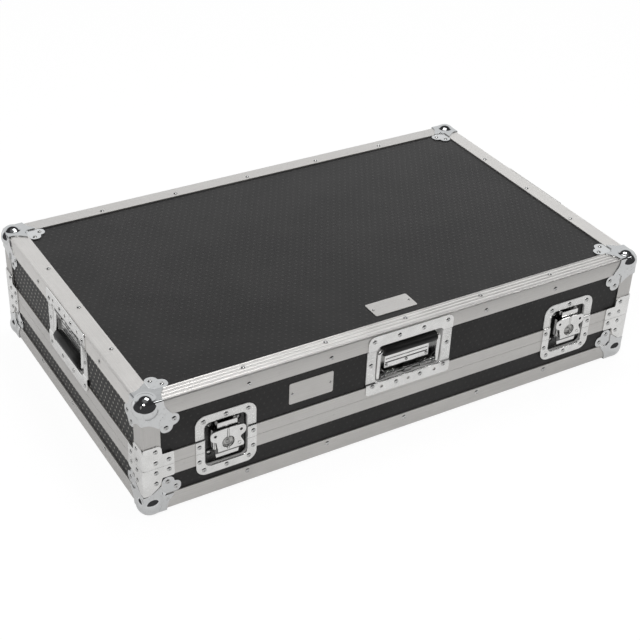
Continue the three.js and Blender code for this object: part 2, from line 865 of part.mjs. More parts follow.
function hookPlate() {
  const shape = new THREE.Shape();
  const { halfWidth, lowHalfWidth, top, low, shoulder, round } = hook;
  shape.moveTo(-lowHalfWidth, low);
  shape.lineTo(lowHalfWidth, low);
  shape.lineTo(halfWidth, shoulder);
  shape.lineTo(halfWidth, top - round);
  shape.lineTo(halfWidth - round, top);
  shape.lineTo(round - halfWidth, top);
  shape.lineTo(-halfWidth, top - round);
  shape.lineTo(-halfWidth, shoulder);
  const windowHalf = cam.radius + cam.offset + cam.clearance;
  const windowTall = cam.radius + cam.clearance;
  const hole = new THREE.Path();
  hole.moveTo(-windowHalf, -cam.offset - windowTall);
  hole.lineTo(-windowHalf, windowTall - cam.offset);
  hole.lineTo(windowHalf, windowTall - cam.offset);
  hole.lineTo(windowHalf, -cam.offset - windowTall);
  shape.holes.push(hole);
  const back = hook.front + hook.thickness;
  const plate = plateFacingFront(shape, hook.front, back, 1);
  const lip = block(
    -hook.lipHalfWidth, hook.lipHalfWidth, hook.front, back + hook.lipReach, low, low + hook.lip,
  );
  return plate.add(lip);
}

function rotor() {
  const disc = rod(rodAxis.y, hub.radius, hub.front, hub.back, facets.discSides);
  const dimple = rod(rodAxis.y, hub.dimpleRadius, hub.front - overrun, hub.front + hub.dimple, facets.smallSides);
  const camDisc = rod(rodAxis.y, cam.radius, cam.front, cam.back, facets.discSides, [0, 0, -cam.offset]);
  const shaft = rod(
    rodAxis.y, hub.shaftRadius, hub.back - fitGap, dish.floor + dish.wall, facets.shaftSides,
  );
  const rib = block(-spine.halfWidth, spine.halfWidth, hub.front, hub.back, spine.low, spine.high);
  const lugs = [[spine.high - spine.lug, spine.high], [spine.low, spine.low + spine.lug]].map(
    ([z0, z1]) => block(-spine.lugHalfWidth, spine.lugHalfWidth, hub.front + hub.dimple, hub.back, z0, z1),
  );
  const pins = [-1, 1].map((hand) => rod(
    rodAxis.z, wing.pinRadius, spine.low + spine.lug / 2, spine.high - spine.lug / 2, facets.smallSides,
    [hand * wing.pivot, wing.pivotDepth, 0],
  ));
  return join([disc, camDisc, shaft, rib, ...lugs, ...pins]).subtract(dimple);
}

// The right wing, as seen from the front; the left one is its mirror image with a narrower foot
function latchWing(hand, footAcross) {
  const shape = new THREE.Shape();
  const inner = wing.pivot;
  shape.moveTo(inner, wing.footLow);
  shape.lineTo(footAcross, wing.footLow);
  shape.lineTo(footAcross, wing.footHigh);
  shape.lineTo(wing.waistAcross, wing.waistUp);
  shape.lineTo(wing.earAcross + wing.earRadius * Math.SQRT1_2, wing.earUp - wing.earRadius * Math.SQRT1_2);
  shape.absarc(wing.earAcross, wing.earUp, wing.earRadius, -Math.PI / 4, Math.PI / 2);
  shape.lineTo(inner, wing.top);
  const back = wing.front + wing.thickness;
  const plate = plateFacingFront(shape, wing.front, back, facets.arcSegments);
  const sleeve = (z0, z1) => rod(
    rodAxis.z, wing.knuckle, z0, z1, facets.pinSides, [wing.pivot, wing.pivotDepth, 0],
  );
  const highEnd = spine.high - spine.lug - wing.knuckleGap;
  const lowEnd = spine.low + spine.lug + wing.knuckleGap;
  const hubHole = rod(rodAxis.y, wing.hubClear, wing.front - overrun, back + overrun, facets.discSides);
  const pinHole = rod(
    rodAxis.z, wing.bore, spine.low - overrun, spine.high + overrun, facets.pinSides,
    [wing.pivot, wing.pivotDepth, 0],
  );
  const earHole = rod(
    rodAxis.y, wing.earHole, wing.front - overrun, back + overrun, facets.smallSides,
    [wing.earAcross, 0, wing.earUp],
  );
  const lugRoom = [[highEnd, spine.high + overrun], [spine.low - overrun, lowEnd]].map(
    ([z0, z1]) => block(
      -overrun, spine.lugHalfWidth + wing.knuckleGap, wing.front - overrun, hub.back + overrun, z0, z1,
    ),
  );
  const made = join([plate, sleeve(wing.hubClear, highEnd), sleeve(lowEnd, -wing.hubClear)])
    .subtract(hubHole)
    .subtract(pinHole)
    .subtract(earHole)
    .subtract(lugRoom[0])
    .subtract(lugRoom[1]);
  return hand > 0 ? made : mirrored(made, -1, 1, 1, 0, 0, 0);
}

function latches() {
  const lid = [];
  const base = [];
  for (const { name, x } of latchPlaces) {
    const { turned, placed } = sideGroup(sides.front);
    const onLid = new THREE.Group();
    onLid.position.set(x, 0, latchHeight);
    placed.add(onLid);
    onLid.add(meshOf(`latch_${name}_lid_dish`, latchLidDish(), 'steel'));
    onLid.add(meshOf(`latch_${name}_hook_plate`, hookPlate(), 'steel'));
    onLid.add(meshOf(`latch_${name}_rotor`, rotor(), 'steel'));
    onLid.add(meshOf(`latch_${name}_wing_left`, latchWing(-1, wing.footNarrow), 'steel'));
    onLid.add(meshOf(`latch_${name}_wing_right`, latchWing(1, wing.footWide), 'steel'));
    onLid.add(meshOf(`latch_${name}_base_dish`, latchBaseDish(), 'steel'));
    lid.push(turned);
  }
  return { lid, base };
}

// Bail handle. Its coordinates: x and z from the dish's middle, y inwards from the face, with
// the hinge strip at the bottom; the side handles are turned over.
function handleDish(stripStep) {
  const flangeFront = -fitGap - dish.wall;
  const lowFront = flangeFront + dish.step;
  const { halfWidth, stripEdge, gripEdge, gripStep, cornerRadius } = handle;
  const middle = plateFacingFront(
    roundedOutline(-halfWidth, halfWidth, -stripStep - dish.step, gripStep + dish.step, 0, 0),
    lowFront, lowFront + dish.wall, 1,
  );
  const strip = plateFacingFront(
    roundedOutline(-halfWidth, halfWidth, -stripEdge, -stripStep, cornerRadius / 2, 0),
    flangeFront, -fitGap, facets.cornerSegments,
  );
  const crown = plateFacingFront(
    roundedOutline(-halfWidth, halfWidth, gripStep, gripEdge, 0, cornerRadius),
    flangeFront, -fitGap, facets.arcSegments,
  );
  const steps = [[-stripStep - dish.step, -stripStep], [gripStep, gripStep + dish.step]].map(
    ([z0, z1]) => block(-halfWidth, halfWidth, flangeFront, lowFront + dish.wall, z0, z1),
  );
  const open = handle.openHalfWidth;
  const trayOutline = roundedOutline(
    -open - dish.wall, open + dish.wall, -handle.openStrip - dish.wall, handle.openGrip + dish.wall,
    handle.openRadius + dish.wall, handle.openRadius + dish.wall,
  );
  const tray = plateFacingFront(trayOutline, lowFront, handle.depth + dish.wall, facets.cornerSegments);
  const trayFront = plateFacingFront(trayOutline, flangeFront, handle.depth, facets.cornerSegments).subtract(
    block(-halfWidth, halfWidth, flangeFront - overrun, lowFront, -stripStep, gripStep),
  );
  const hollow = plateFacingFront(
    roundedOutline(-open, open, -handle.openStrip, handle.openGrip, handle.openRadius, handle.openRadius),
    flangeFront - overrun, handle.depth, facets.cornerSegments,
  );
  const blank = join([middle, strip, crown, ...steps, tray, trayFront]).subtract(hollow);
  const saddles = [-1, 0, 1].map((place) => {
    const half = (place ? saddle.width : saddle.middleWidth) / 2;
    const x = place * saddle.across;
    const ring = rod(
      rodAxis.x, saddle.radius, x - half, x + half, facets.pinSides, [0, bail.pivotDepth, -bail.pivotDrop],
    );
    const foot = block(
      x - half, x + half, bail.pivotDepth - saddle.radius / 2, saddle.low,
      -handle.openStrip - fitGap, -bail.pivotDrop,
    );
    return ring.add(foot);
  });
  const bore = rod(
    rodAxis.x, saddle.bore, -saddle.across - overrun, saddle.across + overrun, facets.pinSides,
    [0, bail.pivotDepth, -bail.pivotDrop],
  );
  return join([blank, ...saddles.map((one) => one.subtract(bore))]);
}

// A steel wire wound round the pivot: eight curls, a leg hooked on the bail and a short tail
function springPoints(hand) {
  const points = [];
  const steps = spring.curls * spring.stepsPerCurl;
  const centre = new THREE.Vector3(0, bail.pivotDepth, -bail.pivotDrop);
  const legY = bail.pivotDepth;
  const highZ = spring.legRise - bail.pivotDrop;
  points.push(new THREE.Vector3(hand * bail.legAcross, legY, highZ));
  points.push(new THREE.Vector3(hand * (spring.outer + spring.coil / 2), legY, highZ));
  for (let i = 0; i <= steps; i += 1) {
    const turn = 2 * Math.PI * i / spring.stepsPerCurl;
    const along = spring.outer + (spring.inner - spring.outer) * i / steps;
    points.push(new THREE.Vector3(
      hand * along,
      centre.y - spring.coil * Math.sin(turn),
      centre.z + spring.coil * Math.cos(turn),
    ));
  }
  const last = points[points.length - 1].clone();
  points.push(last.add(new THREE.Vector3(0, spring.tail, 0)));
  return points;
}

// A closed tube through points, its rings carried along without twist
function wire(points, radius, ringSides) {
  const positions = [];
  const faces = [];
  const tangents = points.map((_, i) => {
    const before = points[Math.max(i - 1, 0)];
    const after = points[Math.min(i + 1, points.length - 1)];
    return after.clone().sub(before).normalize();
  });
  const first = tangents[0];
  let normal = new THREE.Vector3(0, 1, 0).cross(first).normalize();
  points.forEach((point, i) => {
    const tangent = tangents[i];
    normal = normal.clone().sub(tangent.clone().multiplyScalar(normal.dot(tangent))).normalize();
    const other = tangent.clone().cross(normal);
    for (let k = 0; k < ringSides; k += 1) {
      const around = 2 * Math.PI * k / ringSides;
      const at = point.clone()
        .add(normal.clone().multiplyScalar(radius * Math.cos(around)))
        .add(other.clone().multiplyScalar(radius * Math.sin(around)));
      positions.push(at.x, at.y, at.z);
    }
  });
  for (let i = 0; i < points.length - 1; i += 1) {
    for (let k = 0; k < ringSides; k += 1) {
      const a = i * ringSides + k;
      const b = i * ringSides + (k + 1) % ringSides;
      const c = b + ringSides;
      const d = a + ringSides;
      faces.push(a, b, c, a, c, d);
    }
  }
  const lastRing = (points.length - 1) * ringSides;
  for (let k = 1; k < ringSides - 1; k += 1) {
    faces.push(0, k + 1, k, lastRing, lastRing + k, lastRing + k + 1);
  }
  return closedSolid(positions, faces);
}

// Least gap between neighbouring curls of a spring, measured on its points
function leastCurlGap(points) {
  let least = Infinity;
  const apart = spring.stepsPerCurl / 2;
  for (let i = 2; i < points.length - 1; i += 1) {
    for (let j = i + apart; j < points.length - 1; j += 1) {
      least = Math.min(least, points[i].distanceTo(points[j]) - 2 * spring.wire);
    }
  }
  return least;
}

// Points of a bend that turns at a corner from one direction into another at right angles
function roundedBend(corner, from, to, radius) {
  const steps = 3;
  const centre = corner.clone().addScaledVector(from, -radius).addScaledVector(to, radius);
  return Array.from({ length: steps + 1 }, (_, i) => {
    const turn = Math.PI / 2 * i / steps;
    return centre.clone()
      .addScaledVector(to, -radius * Math.cos(turn))
      .addScaledVector(from, radius * Math.sin(turn));
  });
}

function bailHandle() {
  const { pivotDepth, pivotDrop, gripRise, gripDepth, legAcross, rodRadius, pinRadius, bend } = bail;
  const pivotPoint = new THREE.Vector3(legAcross, pivotDepth, -pivotDrop);
  const gripPoint = new THREE.Vector3(legAcross, gripDepth, gripRise);
  const up = gripPoint.clone().sub(pivotPoint).normalize();
  const inwards = new THREE.Vector3(-1, 0, 0);
  const rightHalf = [
    pivotPoint.clone().addScaledVector(up, -bail.legEnd),
    ...roundedBend(gripPoint, up, inwards, bend),
  ];
  const leftHalf = rightHalf.map((point) => new THREE.Vector3(-point.x, point.y, point.z)).reverse();
  const loop = wire([...rightHalf, ...leftHalf], rodRadius, facets.pinSides);
  const pivotRod = rod(rodAxis.x, pinRadius, -legAcross, legAcross, facets.pinSides, [0, pivotDepth, -pivotDrop]);
  const springs = [-1, 1].map((hand) => wire(springPoints(hand), spring.wire, spring.sides));
  return join([loop, pivotRod, ...springs]);
}

function gripTube() {
  const half = grip.span / 2;
  const { radius, bore, round } = grip;
  const profile = [
    [bore, -half],
    [radius - round, -half],
    [radius, round - half],
    [radius, half - round],
    [radius - round, half],
    [bore, half],
    [bore, -half],
  ].map(([r, along]) => new THREE.Vector2(r, along));
  const tube = new THREE.LatheGeometry(profile, facets.discSides);
  tube.rotateZ(-Math.PI / 2);
  tube.translate(0, bail.gripDepth, bail.gripRise);
  const made = solid(tube);
  return made;
}

function handles() {
  console.log(`least gap between spring curls: ${leastCurlGap(springPoints(1)).toFixed(2)} mm`);
  return handlePlaces.map(({ name, side, turnedOver }) => {
    const { turned, placed } = sideGroup(side);
    const mount = new THREE.Group();
    mount.position.z = handleHeight;
    if (turnedOver) mount.rotation.y = Math.PI;
    placed.add(mount);
    const stripStep = turnedOver ? handle.sideStepStrip : handle.frontStepStrip;
    mount.add(meshOf(`handle_${name}_dish`, handleDish(stripStep), 'steel'));
    mount.add(meshOf(`handle_${name}_bail`, bailHandle(), 'steel'));
    mount.add(meshOf(`handle_${name}_grip`, gripTube(), 'rubber'));
    return turned;
  });
}

// Rear hinge. Its coordinates: x from the hinge's middle, y inwards from the back face, z from
// the bottom angles. The base leaf carries the outer knuckles and the pin, the lid leaf the middle.
function hingeLeaves() {
  const outer = -fitGap - hinge.leaf;
  const pinHeight = seamHeight + hinge.pinUp;
  const centre = [0, -hinge.pinOut, pinHeight];
  const half = hinge.width / 2;
  const middleHalf = hinge.middleWidth / 2;
  const room = hinge.knuckle + hinge.endGap;
  const knuckleOf = (x0, x1) => rod(rodAxis.x, hinge.knuckle, x0, x1, facets.ringSides, centre);
  const boreOf = (x0, x1) => rod(rodAxis.x, hinge.bore, x0 - overrun, x1 + overrun, facets.ringSides, centre);
  const outerKnuckles = [[-half, -middleHalf - hinge.endGap], [middleHalf + hinge.endGap, half]];
  const basePlate = plateFacingFront(
    roundedOutline(-half, half, seamHeight - hinge.leafHeight, pinHeight, hinge.corner, 0),
    outer, -fitGap, facets.cornerSegments,
  ).subtract(block(
    -middleHalf - hinge.endGap, middleHalf + hinge.endGap, outer - overrun, overrun,
    pinHeight - room, pinHeight + overrun,
  ));
  const pin = rod(rodAxis.x, hinge.pinRadius, -half, half, facets.pinSides, centre);
  const baseLeaf = join([basePlate, ...outerKnuckles.map(([x0, x1]) => knuckleOf(x0, x1)), pin]);
  const lidPlate = cut(
    plateFacingFront(
      roundedOutline(-half, half, seamHeight + seamGap, seamHeight + hinge.leafHeight, 0, hinge.corner),
      outer, -fitGap, facets.cornerSegments,
    ),
    [[-half - overrun, -middleHalf], [middleHalf, half + overrun]].map(([x0, x1]) => block(
      x0, x1, outer - overrun, overrun, seamHeight - overrun, pinHeight + room,
    )),
  );
  const lidLeaf = join([lidPlate, knuckleOf(-middleHalf, middleHalf)])
    .subtract(boreOf(-middleHalf, middleHalf));
  return { baseLeaf, lidLeaf };
}

function hinges() {
  const base = [];
  const lid = [];
  const across = caseLength / 2 - hinge.fromEnd;
  const hingePlaces = [{ name: 'left', x: across }, { name: 'right', x: -across }];
  for (const { name, x } of hingePlaces) {
    const { turned, placed } = sideGroup(sides.back);
    const mount = new THREE.Group();
    mount.position.x = x;
    placed.add(mount);
    const { baseLeaf, lidLeaf } = hingeLeaves();
    mount.add(meshOf(`hinge_${name}_base_leaf`, baseLeaf, 'steel'));
    mount.add(meshOf(`hinge_${name}_lid_leaf`, lidLeaf, 'steel'));
    base.push(turned);
  }
  return { base, lid };
}

const flightCase = new THREE.Group();
flightCase.name = 'flight_case';
const standing = new THREE.Group();
standing.position.z = ballProud;
flightCase.add(standing);

const allBoards = boards();
const allExtrusions = extrusions();
const allCorners = cornerPieces();
const linings = foamLinings();
const allLatches = latches();
const allHinges = hinges();
standing.add(
  ...allBoards.base, ...allExtrusions.base, ...allCorners.base, linings.base,
  ...allBoards.lid, ...allExtrusions.lid, ...allCorners.lid, linings.lid,
  ...allLatches.lid, ...allHinges.base, ...handles(),
);

export default flightCase;
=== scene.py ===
"""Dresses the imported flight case: steel hardware, rivets, plates, finishes and the studio round it.

Sizes are in millimetres. Each piece is shaped in a plain frame of its own and then laid on the
side of the case that carries it, in metres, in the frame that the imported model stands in.
"""

from __future__ import annotations

import logging
import math
from dataclasses import dataclass, field
from enum import Enum
from typing import Any, Callable, ClassVar, Iterable, Mapping, Sequence, Union

import bmesh
import bpy
from bmesh.types import BMEdge, BMFace, BMVert
from mathutils import Matrix, Vector

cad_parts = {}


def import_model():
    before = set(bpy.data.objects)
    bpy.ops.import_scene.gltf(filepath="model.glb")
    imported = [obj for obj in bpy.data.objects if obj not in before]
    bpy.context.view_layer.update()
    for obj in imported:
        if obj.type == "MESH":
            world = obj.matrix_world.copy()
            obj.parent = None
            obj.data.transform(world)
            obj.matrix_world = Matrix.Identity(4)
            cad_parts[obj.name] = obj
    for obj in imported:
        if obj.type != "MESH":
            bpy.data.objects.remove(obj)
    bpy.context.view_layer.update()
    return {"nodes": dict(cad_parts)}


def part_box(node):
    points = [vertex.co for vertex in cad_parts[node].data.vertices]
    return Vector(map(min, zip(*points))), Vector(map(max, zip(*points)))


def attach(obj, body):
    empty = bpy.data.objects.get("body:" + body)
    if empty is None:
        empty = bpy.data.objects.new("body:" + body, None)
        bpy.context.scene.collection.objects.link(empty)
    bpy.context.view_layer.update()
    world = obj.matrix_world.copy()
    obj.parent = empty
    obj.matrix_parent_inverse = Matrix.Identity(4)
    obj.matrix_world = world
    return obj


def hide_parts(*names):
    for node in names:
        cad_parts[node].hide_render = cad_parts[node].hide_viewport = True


log = logging.getLogger("flight_case")

MM = 0.001
NEAR = 0.01
WELD = 0.002
Value = Union["Link", float, Sequence[float]]
Colour = tuple[float, float, float, float]
Profile = tuple[tuple[float, float], ...]
WHITE: Colour = (1.0, 1.0, 1.0, 1.0)
GLOOM: Colour = (0.05, 0.05, 0.052, 1.0)


# Places on the case


@dataclass(frozen=True)
class CaseSizes:
    """The driving sizes of the case, over its aluminium edges."""

    length: float = 950.0
    depth: float = 585.0
    height: float = 210.0
    seam: float = 87.3
    seam_gap: float = 0.4
    lift: float = 7.5
    board_face: float = 2.2
    leg: float = 30.0
    wall: float = 2.0
    nose: float = 3.0
    rim: float = 22.0

    @property
    def top(self) -> float:
        """The height of the upper aluminium edges above the ground."""
        return self.height + self.lift


CASE = CaseSizes()


def turned(degrees: float, axis: str | Vector = "Z") -> Matrix:
    """Gives a turn about an axis."""
    return Matrix.Rotation(math.radians(degrees), 4, axis)


SWAP_XY = Matrix(((0, 1, 0, 0), (1, 0, 0, 0), (0, 0, 1, 0), (0, 0, 0, 1)))
SWAP_YZ = Matrix(((1, 0, 0, 0), (0, 0, 1, 0), (0, 1, 0, 0), (0, 0, 0, 1)))


class Side(Enum):
    """A side of the case, with the turn that brings the front's frame to it."""

    FRONT = 0.0
    RIGHT = 90.0
    BACK = 180.0
    LEFT = -90.0

    @property
    def long(self) -> bool:
        """Whether it is one of the two long sides."""
        return self in (Side.FRONT, Side.BACK)

    @property
    def reach(self) -> float:
        """How far the side's metal stands from the middle of the case."""
        return (CASE.depth if self.long else CASE.length) / 2

    def frame(self) -> Matrix:
        """Gives the side's frame.

        Returns:
            The matrix that takes X along the side, Y into the case and Z up, in millimetres,
            to the row frame, still in millimetres.
        """
        return turned(self.value) @ Matrix.Translation((0.0, -self.reach, CASE.lift))


def top_frame() -> Matrix:
    """Gives the frame of the top: X to the right, Z to the back and Y down into the case."""
    return Matrix.Translation((0.0, 0.0, CASE.top)) @ turned(-90.0, "X")


@dataclass(frozen=True)
class CaseCorner:
    """One upright corner of the case, which side it is on and what its pieces are called."""

    name: str
    across: int
    along: int

    def frame(self, top: bool) -> Matrix:
        """Gives the frame of the corner's outermost point.

        Args:
            top: True for the lid's corner, False for the base's.

        Returns:
            The matrix whose X, Y and Z run inwards along the case's three edges.
        """
        rise = CASE.top if top else CASE.lift
        place = Matrix.Translation(
            (self.across * CASE.length / 2, self.along * CASE.depth / 2, rise))
        facing = Matrix.Diagonal((-self.across, -self.along, -1.0 if top else 1.0, 1.0))
        return place @ facing


CASE_CORNERS = (
    CaseCorner("front_left", -1, -1),
    CaseCorner("front_right", 1, -1),
    CaseCorner("back_left", -1, 1),
    CaseCorner("back_right", 1, 1),
)


# Shaping with Blender's mesh operators


@dataclass(frozen=True)
class Bend:
    """One corner of a flat outline, and the radius that rounds it."""

    x: float
    z: float
    radius: float = 0.0


def rounded(bends: Sequence[Bend], segments: int = 6) -> list[Vector]:
    """Rounds the corners of a flat outline.

    Args:
        bends: The outline's corners in order, in X and Z.
        segments: How many steps round off each corner.

    Returns:
        The rounded outline's points in order.
    """
    sketch = bmesh.new()
    verts = [sketch.verts.new((bend.x, 0.0, bend.z)) for bend in bends]
    sketch.faces.new(verts)
    places = [vert.co.copy() for vert in verts]
    for index, bend in enumerate(bends):
        if bend.radius <= 0.0:
            continue
        here = places[index]
        back = places[index - 1] - here
        ahead = places[(index + 1) % len(places)] - here
        reach = bend.radius / math.tan(back.angle(ahead) / 2)
        bmesh.ops.bevel(sketch, geom=[verts[index]], offset=reach, offset_type="OFFSET",
                        segments=segments, profile=0.5, affect="VERTICES", material=-1)
    sketch.faces.ensure_lookup_table()
    points = [vert.co.copy() for vert in sketch.faces[0].verts]
    sketch.free()
    return points


def slab(x0: float, x1: float, z0: float, z1: float, low: float = 0.0, high: float = 0.0,
         segments: int = 6) -> list[Vector]:
    """Gives a rectangle's outline, its lower and upper corners rounded to their own radii."""
    bends = (Bend(x0, z0, low), Bend(x1, z0, low), Bend(x1, z1, high), Bend(x0, z1, high))
    return rounded(bends, segments)


def arc(centre: tuple[float, float], radius: float, start: float, end: float,
        steps: int) -> list[Vector]:
    """Spins one point about a centre.

    Args:
        centre: X and Z of the centre.
        radius: The radius of the arc.
        start: The angle of the first point in degrees, from X towards Z.
        end: The angle of the last point in degrees.
        steps: The number of steps from the first point to the last.

    Returns:
        The arc's points in order.
    """
    sketch = bmesh.new()
    middle = Vector((centre[0], 0.0, centre[1]))
    first = math.radians(start)
    vert = sketch.verts.new(middle + Vector((math.cos(first), 0.0, math.sin(first))) * radius)
    bmesh.ops.spin(sketch, geom=[vert], cent=middle, axis=(0.0, -1.0, 0.0),
                   angle=math.radians(end - start), steps=steps)
    sketch.verts.ensure_lookup_table()
    points = [one.co.copy() for one in sketch.verts]
    sketch.free()
    return points


def eased(share: float) -> float:
    """Runs smoothly from 0 to 1 as a share does, and holds its ends."""
    held = min(max(share, 0.0), 1.0)
    return held * held * (3 - 2 * held)


class Form:
    """A body being shaped with mesh operators, in millimetres."""

    def __init__(self) -> None:
        """Starts with nothing."""
        self.mesh = bmesh.new()

    def loop(self, points: Iterable[Vector], depth: float | None = None) -> list[BMEdge]:
        """Adds a closed loop of edges.

        Args:
            points: The loop's points in order.
            depth: The Y that all of the points get, or None to keep their own.

        Returns:
            The loop's edges.
        """
        places = [Vector((p.x, p.y if depth is None else depth, p.z)) for p in points]
        verts = [self.mesh.verts.new(place) for place in places]
        return [self.mesh.edges.new((verts[i - 1], verts[i])) for i in range(len(verts))]

    def fill(self, *loops: list[BMEdge]) -> list[BMFace]:
        """Fills an outer loop, leaving the loops inside it open."""
        edges = [edge for loop in loops for edge in loop]
        made = bmesh.ops.triangle_fill(self.mesh, use_beauty=True, edges=edges)
        return [one for one in made["geom"] if isinstance(one, BMFace)]

    def bridge(self, first: list[BMEdge], second: list[BMEdge]) -> None:
        """Joins two loops with a band of faces."""
        bmesh.ops.bridge_loops(self.mesh, edges=first + second)

    def thicken(self, faces: list[BMFace], shift: Sequence[float]) -> None:
        """Draws flat faces out into a solid, along a shift."""
        made = bmesh.ops.extrude_face_region(self.mesh, geom=faces, use_keep_orig=True)
        verts = [one for one in made["geom"] if isinstance(one, BMVert)]
        bmesh.ops.translate(self.mesh, vec=Vector(shift), verts=verts)

    def prism(self, points: Iterable[Vector], shift: Sequence[float]) -> Form:
        """Adds a flat outline drawn out along a shift, and closes the form."""
        self.thicken(self.fill(self.loop(points)), shift)
        return self.close()

    def plate(self, outer: Sequence[Vector], front: float, back: float,
              holes: Sequence[Sequence[Vector]] = ()) -> Form:
        """Adds a flat plate that faces the front.

        Args:
            outer: The plate's outline in X and Z.
            front: The Y of its front face.
            back: The Y of its back face.
            holes: The outlines of its holes.

        Returns:
            This form.
        """
        loops = [self.loop(outer, front)] + [self.loop(hole, front) for hole in holes]
        self.thicken(self.fill(*loops), (0.0, back - front, 0.0))
        return self

    def lathe(self, profile: Sequence[tuple[float, float]], axis: str,
              centre: Sequence[float], steps: int = 24) -> Form:
        """Spins a profile into a turned piece.

        Args:
            profile: Places along the axis and radii, from one end to the other.
            axis: The axis that the piece is turned about, "X", "Y" or "Z".
            centre: Where the profile's zero is.
            steps: The number of steps round.

        Returns:
            This form.
        """
        along = {"X": Vector((1, 0, 0)), "Y": Vector((0, 1, 0)), "Z": Vector((0, 0, 1))}[axis]
        out = Vector((0, 0, 1)) if axis != "Z" else Vector((1, 0, 0))
        base = Vector(centre)
        verts = [self.mesh.verts.new(base + along * a + out * max(r, 0.001)) for a, r in profile]
        edges = [self.mesh.edges.new(pair) for pair in zip(verts, verts[1:])]
        bmesh.ops.spin(self.mesh, geom=verts + edges, cent=base, axis=along,
                       angle=2 * math.pi, steps=steps, use_merge=True)
        bmesh.ops.remove_doubles(self.mesh, verts=self.mesh.verts, dist=0.003)
        return self

    def turned(self, profile: Sequence[tuple[float, float]], axis: str,
               centre: Sequence[float], steps: int = 24, material: int = 0) -> Form:
        """Takes in a closed turned piece, as lathe makes it, in one material slot."""
        return self.take(Form().lathe(profile, axis, centre, steps).close(), material)

    def wire(self, points: Sequence[Vector], radius: float, sides: int) -> Form:
        """Draws a round wire along a path.

        Args:
            points: The path's points.
            radius: The wire's radius.
            sides: The number of sides of the wire.

        Returns:
            This form.
        """
        ends = [points[0], *points, points[-1]]
        tangents = [(after - before).normalized() for before, after in zip(ends, ends[2:])]
        turn = Vector((0, 0, 1)).rotation_difference(tangents[0])
        ring = bmesh.ops.create_circle(self.mesh, cap_ends=True, segments=sides, radius=radius)
        verts = ring["verts"]
        place = Matrix.Translation(points[0]) @ turn.to_matrix().to_4x4()
        bmesh.ops.transform(self.mesh, matrix=place, verts=verts)
        edges = list({edge for vert in verts for edge in vert.link_edges})
        for index in range(1, len(points)):
            made = bmesh.ops.extrude_edge_only(self.mesh, edges=edges)["geom"]
            edges = [one for one in made if isinstance(one, BMEdge)]
            verts = [one for one in made if isinstance(one, BMVert)]
            swing = tangents[index - 1].rotation_difference(tangents[index])
            step = (Matrix.Translation(points[index]) @ swing.to_matrix().to_4x4()
                    @ Matrix.Translation(-points[index - 1]))
            bmesh.ops.transform(self.mesh, matrix=step, verts=verts)
        bmesh.ops.contextual_create(self.mesh, geom=edges)
        return self

    def step(self, height: float, run: float, drop: float, until: float) -> Form:
        """Cranks the sheet, so that what is above a height lies deeper.

        Args:
            height: The Z at which the crank ends, going up.
            run: How much of Z the crank takes.
            drop: How much deeper the sheet lies above it.
            until: The Y past which nothing moves.

        Returns:
            This form.
        """
        cuts = 4
        for index in range(cuts + 1):
            self.cut((0, 0, height - run * (1 - index / cuts)), (0, 0, 1))
        for vert in self.mesh.verts:
            if vert.co.y < until:
                vert.co.y += drop * eased((vert.co.z - height + run) / run)
        return self

    @property
    def everything(self) -> list[Any]:
        """All of the form's vertices, edges and faces."""
        return [*self.mesh.verts, *self.mesh.edges, *self.mesh.faces]

    def cut(self, place: Sequence[float], normal: Sequence[float], away: bool = False) -> Form:
        """Cuts the form along a plane.

        Args:
            place: A point of the plane.
            normal: The plane's normal.
            away: True to drop what lies on the side that the normal points to.

        Returns:
            This form.
        """
        bmesh.ops.bisect_plane(self.mesh, geom=self.everything, dist=0.0001,
                               plane_co=Vector(place), plane_no=Vector(normal), clear_outer=away)
        return self

    def face(self, outwards: Sequence[float]) -> Form:
        """Turns an open skin's faces one way, its flat parts towards a direction."""
        bmesh.ops.remove_doubles(self.mesh, verts=self.mesh.verts, dist=WELD)
        bmesh.ops.recalc_face_normals(self.mesh, faces=self.mesh.faces)
        towards = Vector(outwards)
        total = sum(f.normal.dot(towards) * f.calc_area() for f in self.mesh.faces)
        if total < 0.0:
            bmesh.ops.reverse_faces(self.mesh, faces=self.mesh.faces)
        return self

    def shell(self, thickness: float) -> Form:
        """Gives an open skin its wall, on the side away from its faces."""
        bmesh.ops.solidify(self.mesh, geom=list(self.mesh.faces), thickness=thickness)
        return self

    def close(self) -> Form:
        """Merges doubles and turns a closed body's faces outwards."""
        bmesh.ops.remove_doubles(self.mesh, verts=self.mesh.verts, dist=WELD)
        bmesh.ops.recalc_face_normals(self.mesh, faces=self.mesh.faces)
        return self

    def moved(self, matrix: Matrix) -> Form:
        """Moves the whole form."""
        bmesh.ops.transform(self.mesh, matrix=matrix, verts=self.mesh.verts)
        return self

    def turned_copies(self, matrices: Sequence[Matrix]) -> Form:
        """Adds a copy of the form as it stands for each matrix."""
        base = self.everything
        for matrix in matrices:
            made = bmesh.ops.duplicate(self.mesh, geom=base)["geom"]
            verts = [one for one in made if isinstance(one, BMVert)]
            bmesh.ops.transform(self.mesh, matrix=matrix, verts=verts)
        return self

    def handed_over(self, name: str) -> bpy.types.Mesh:
        """Gives the form as a mesh data block, and is used up."""
        mesh = bpy.data.meshes.new(name)
        self.mesh.to_mesh(mesh)
        self.mesh.free()
        return mesh

    def take(self, other: Form, material: int = 0) -> Form:
        """Takes in another form, which is used up.

        Args:
            other: The form to take in.
            material: The material slot that its faces get.

        Returns:
            This form.
        """
        for one in other.mesh.faces:
            one.material_index = material
        mesh = other.handed_over("taken")
        self.mesh.from_mesh(mesh)
        bpy.data.meshes.remove(mesh)
        return self


@dataclass(frozen=True)
class Edging:
    """How a piece's sharp edges are softened."""

    width: float = 0.3
    segments: int = 2
    over: float = 50.0


FOLDED = Edging(0.25, 2, 60.0)
SMOOTH_BELOW = 38.0


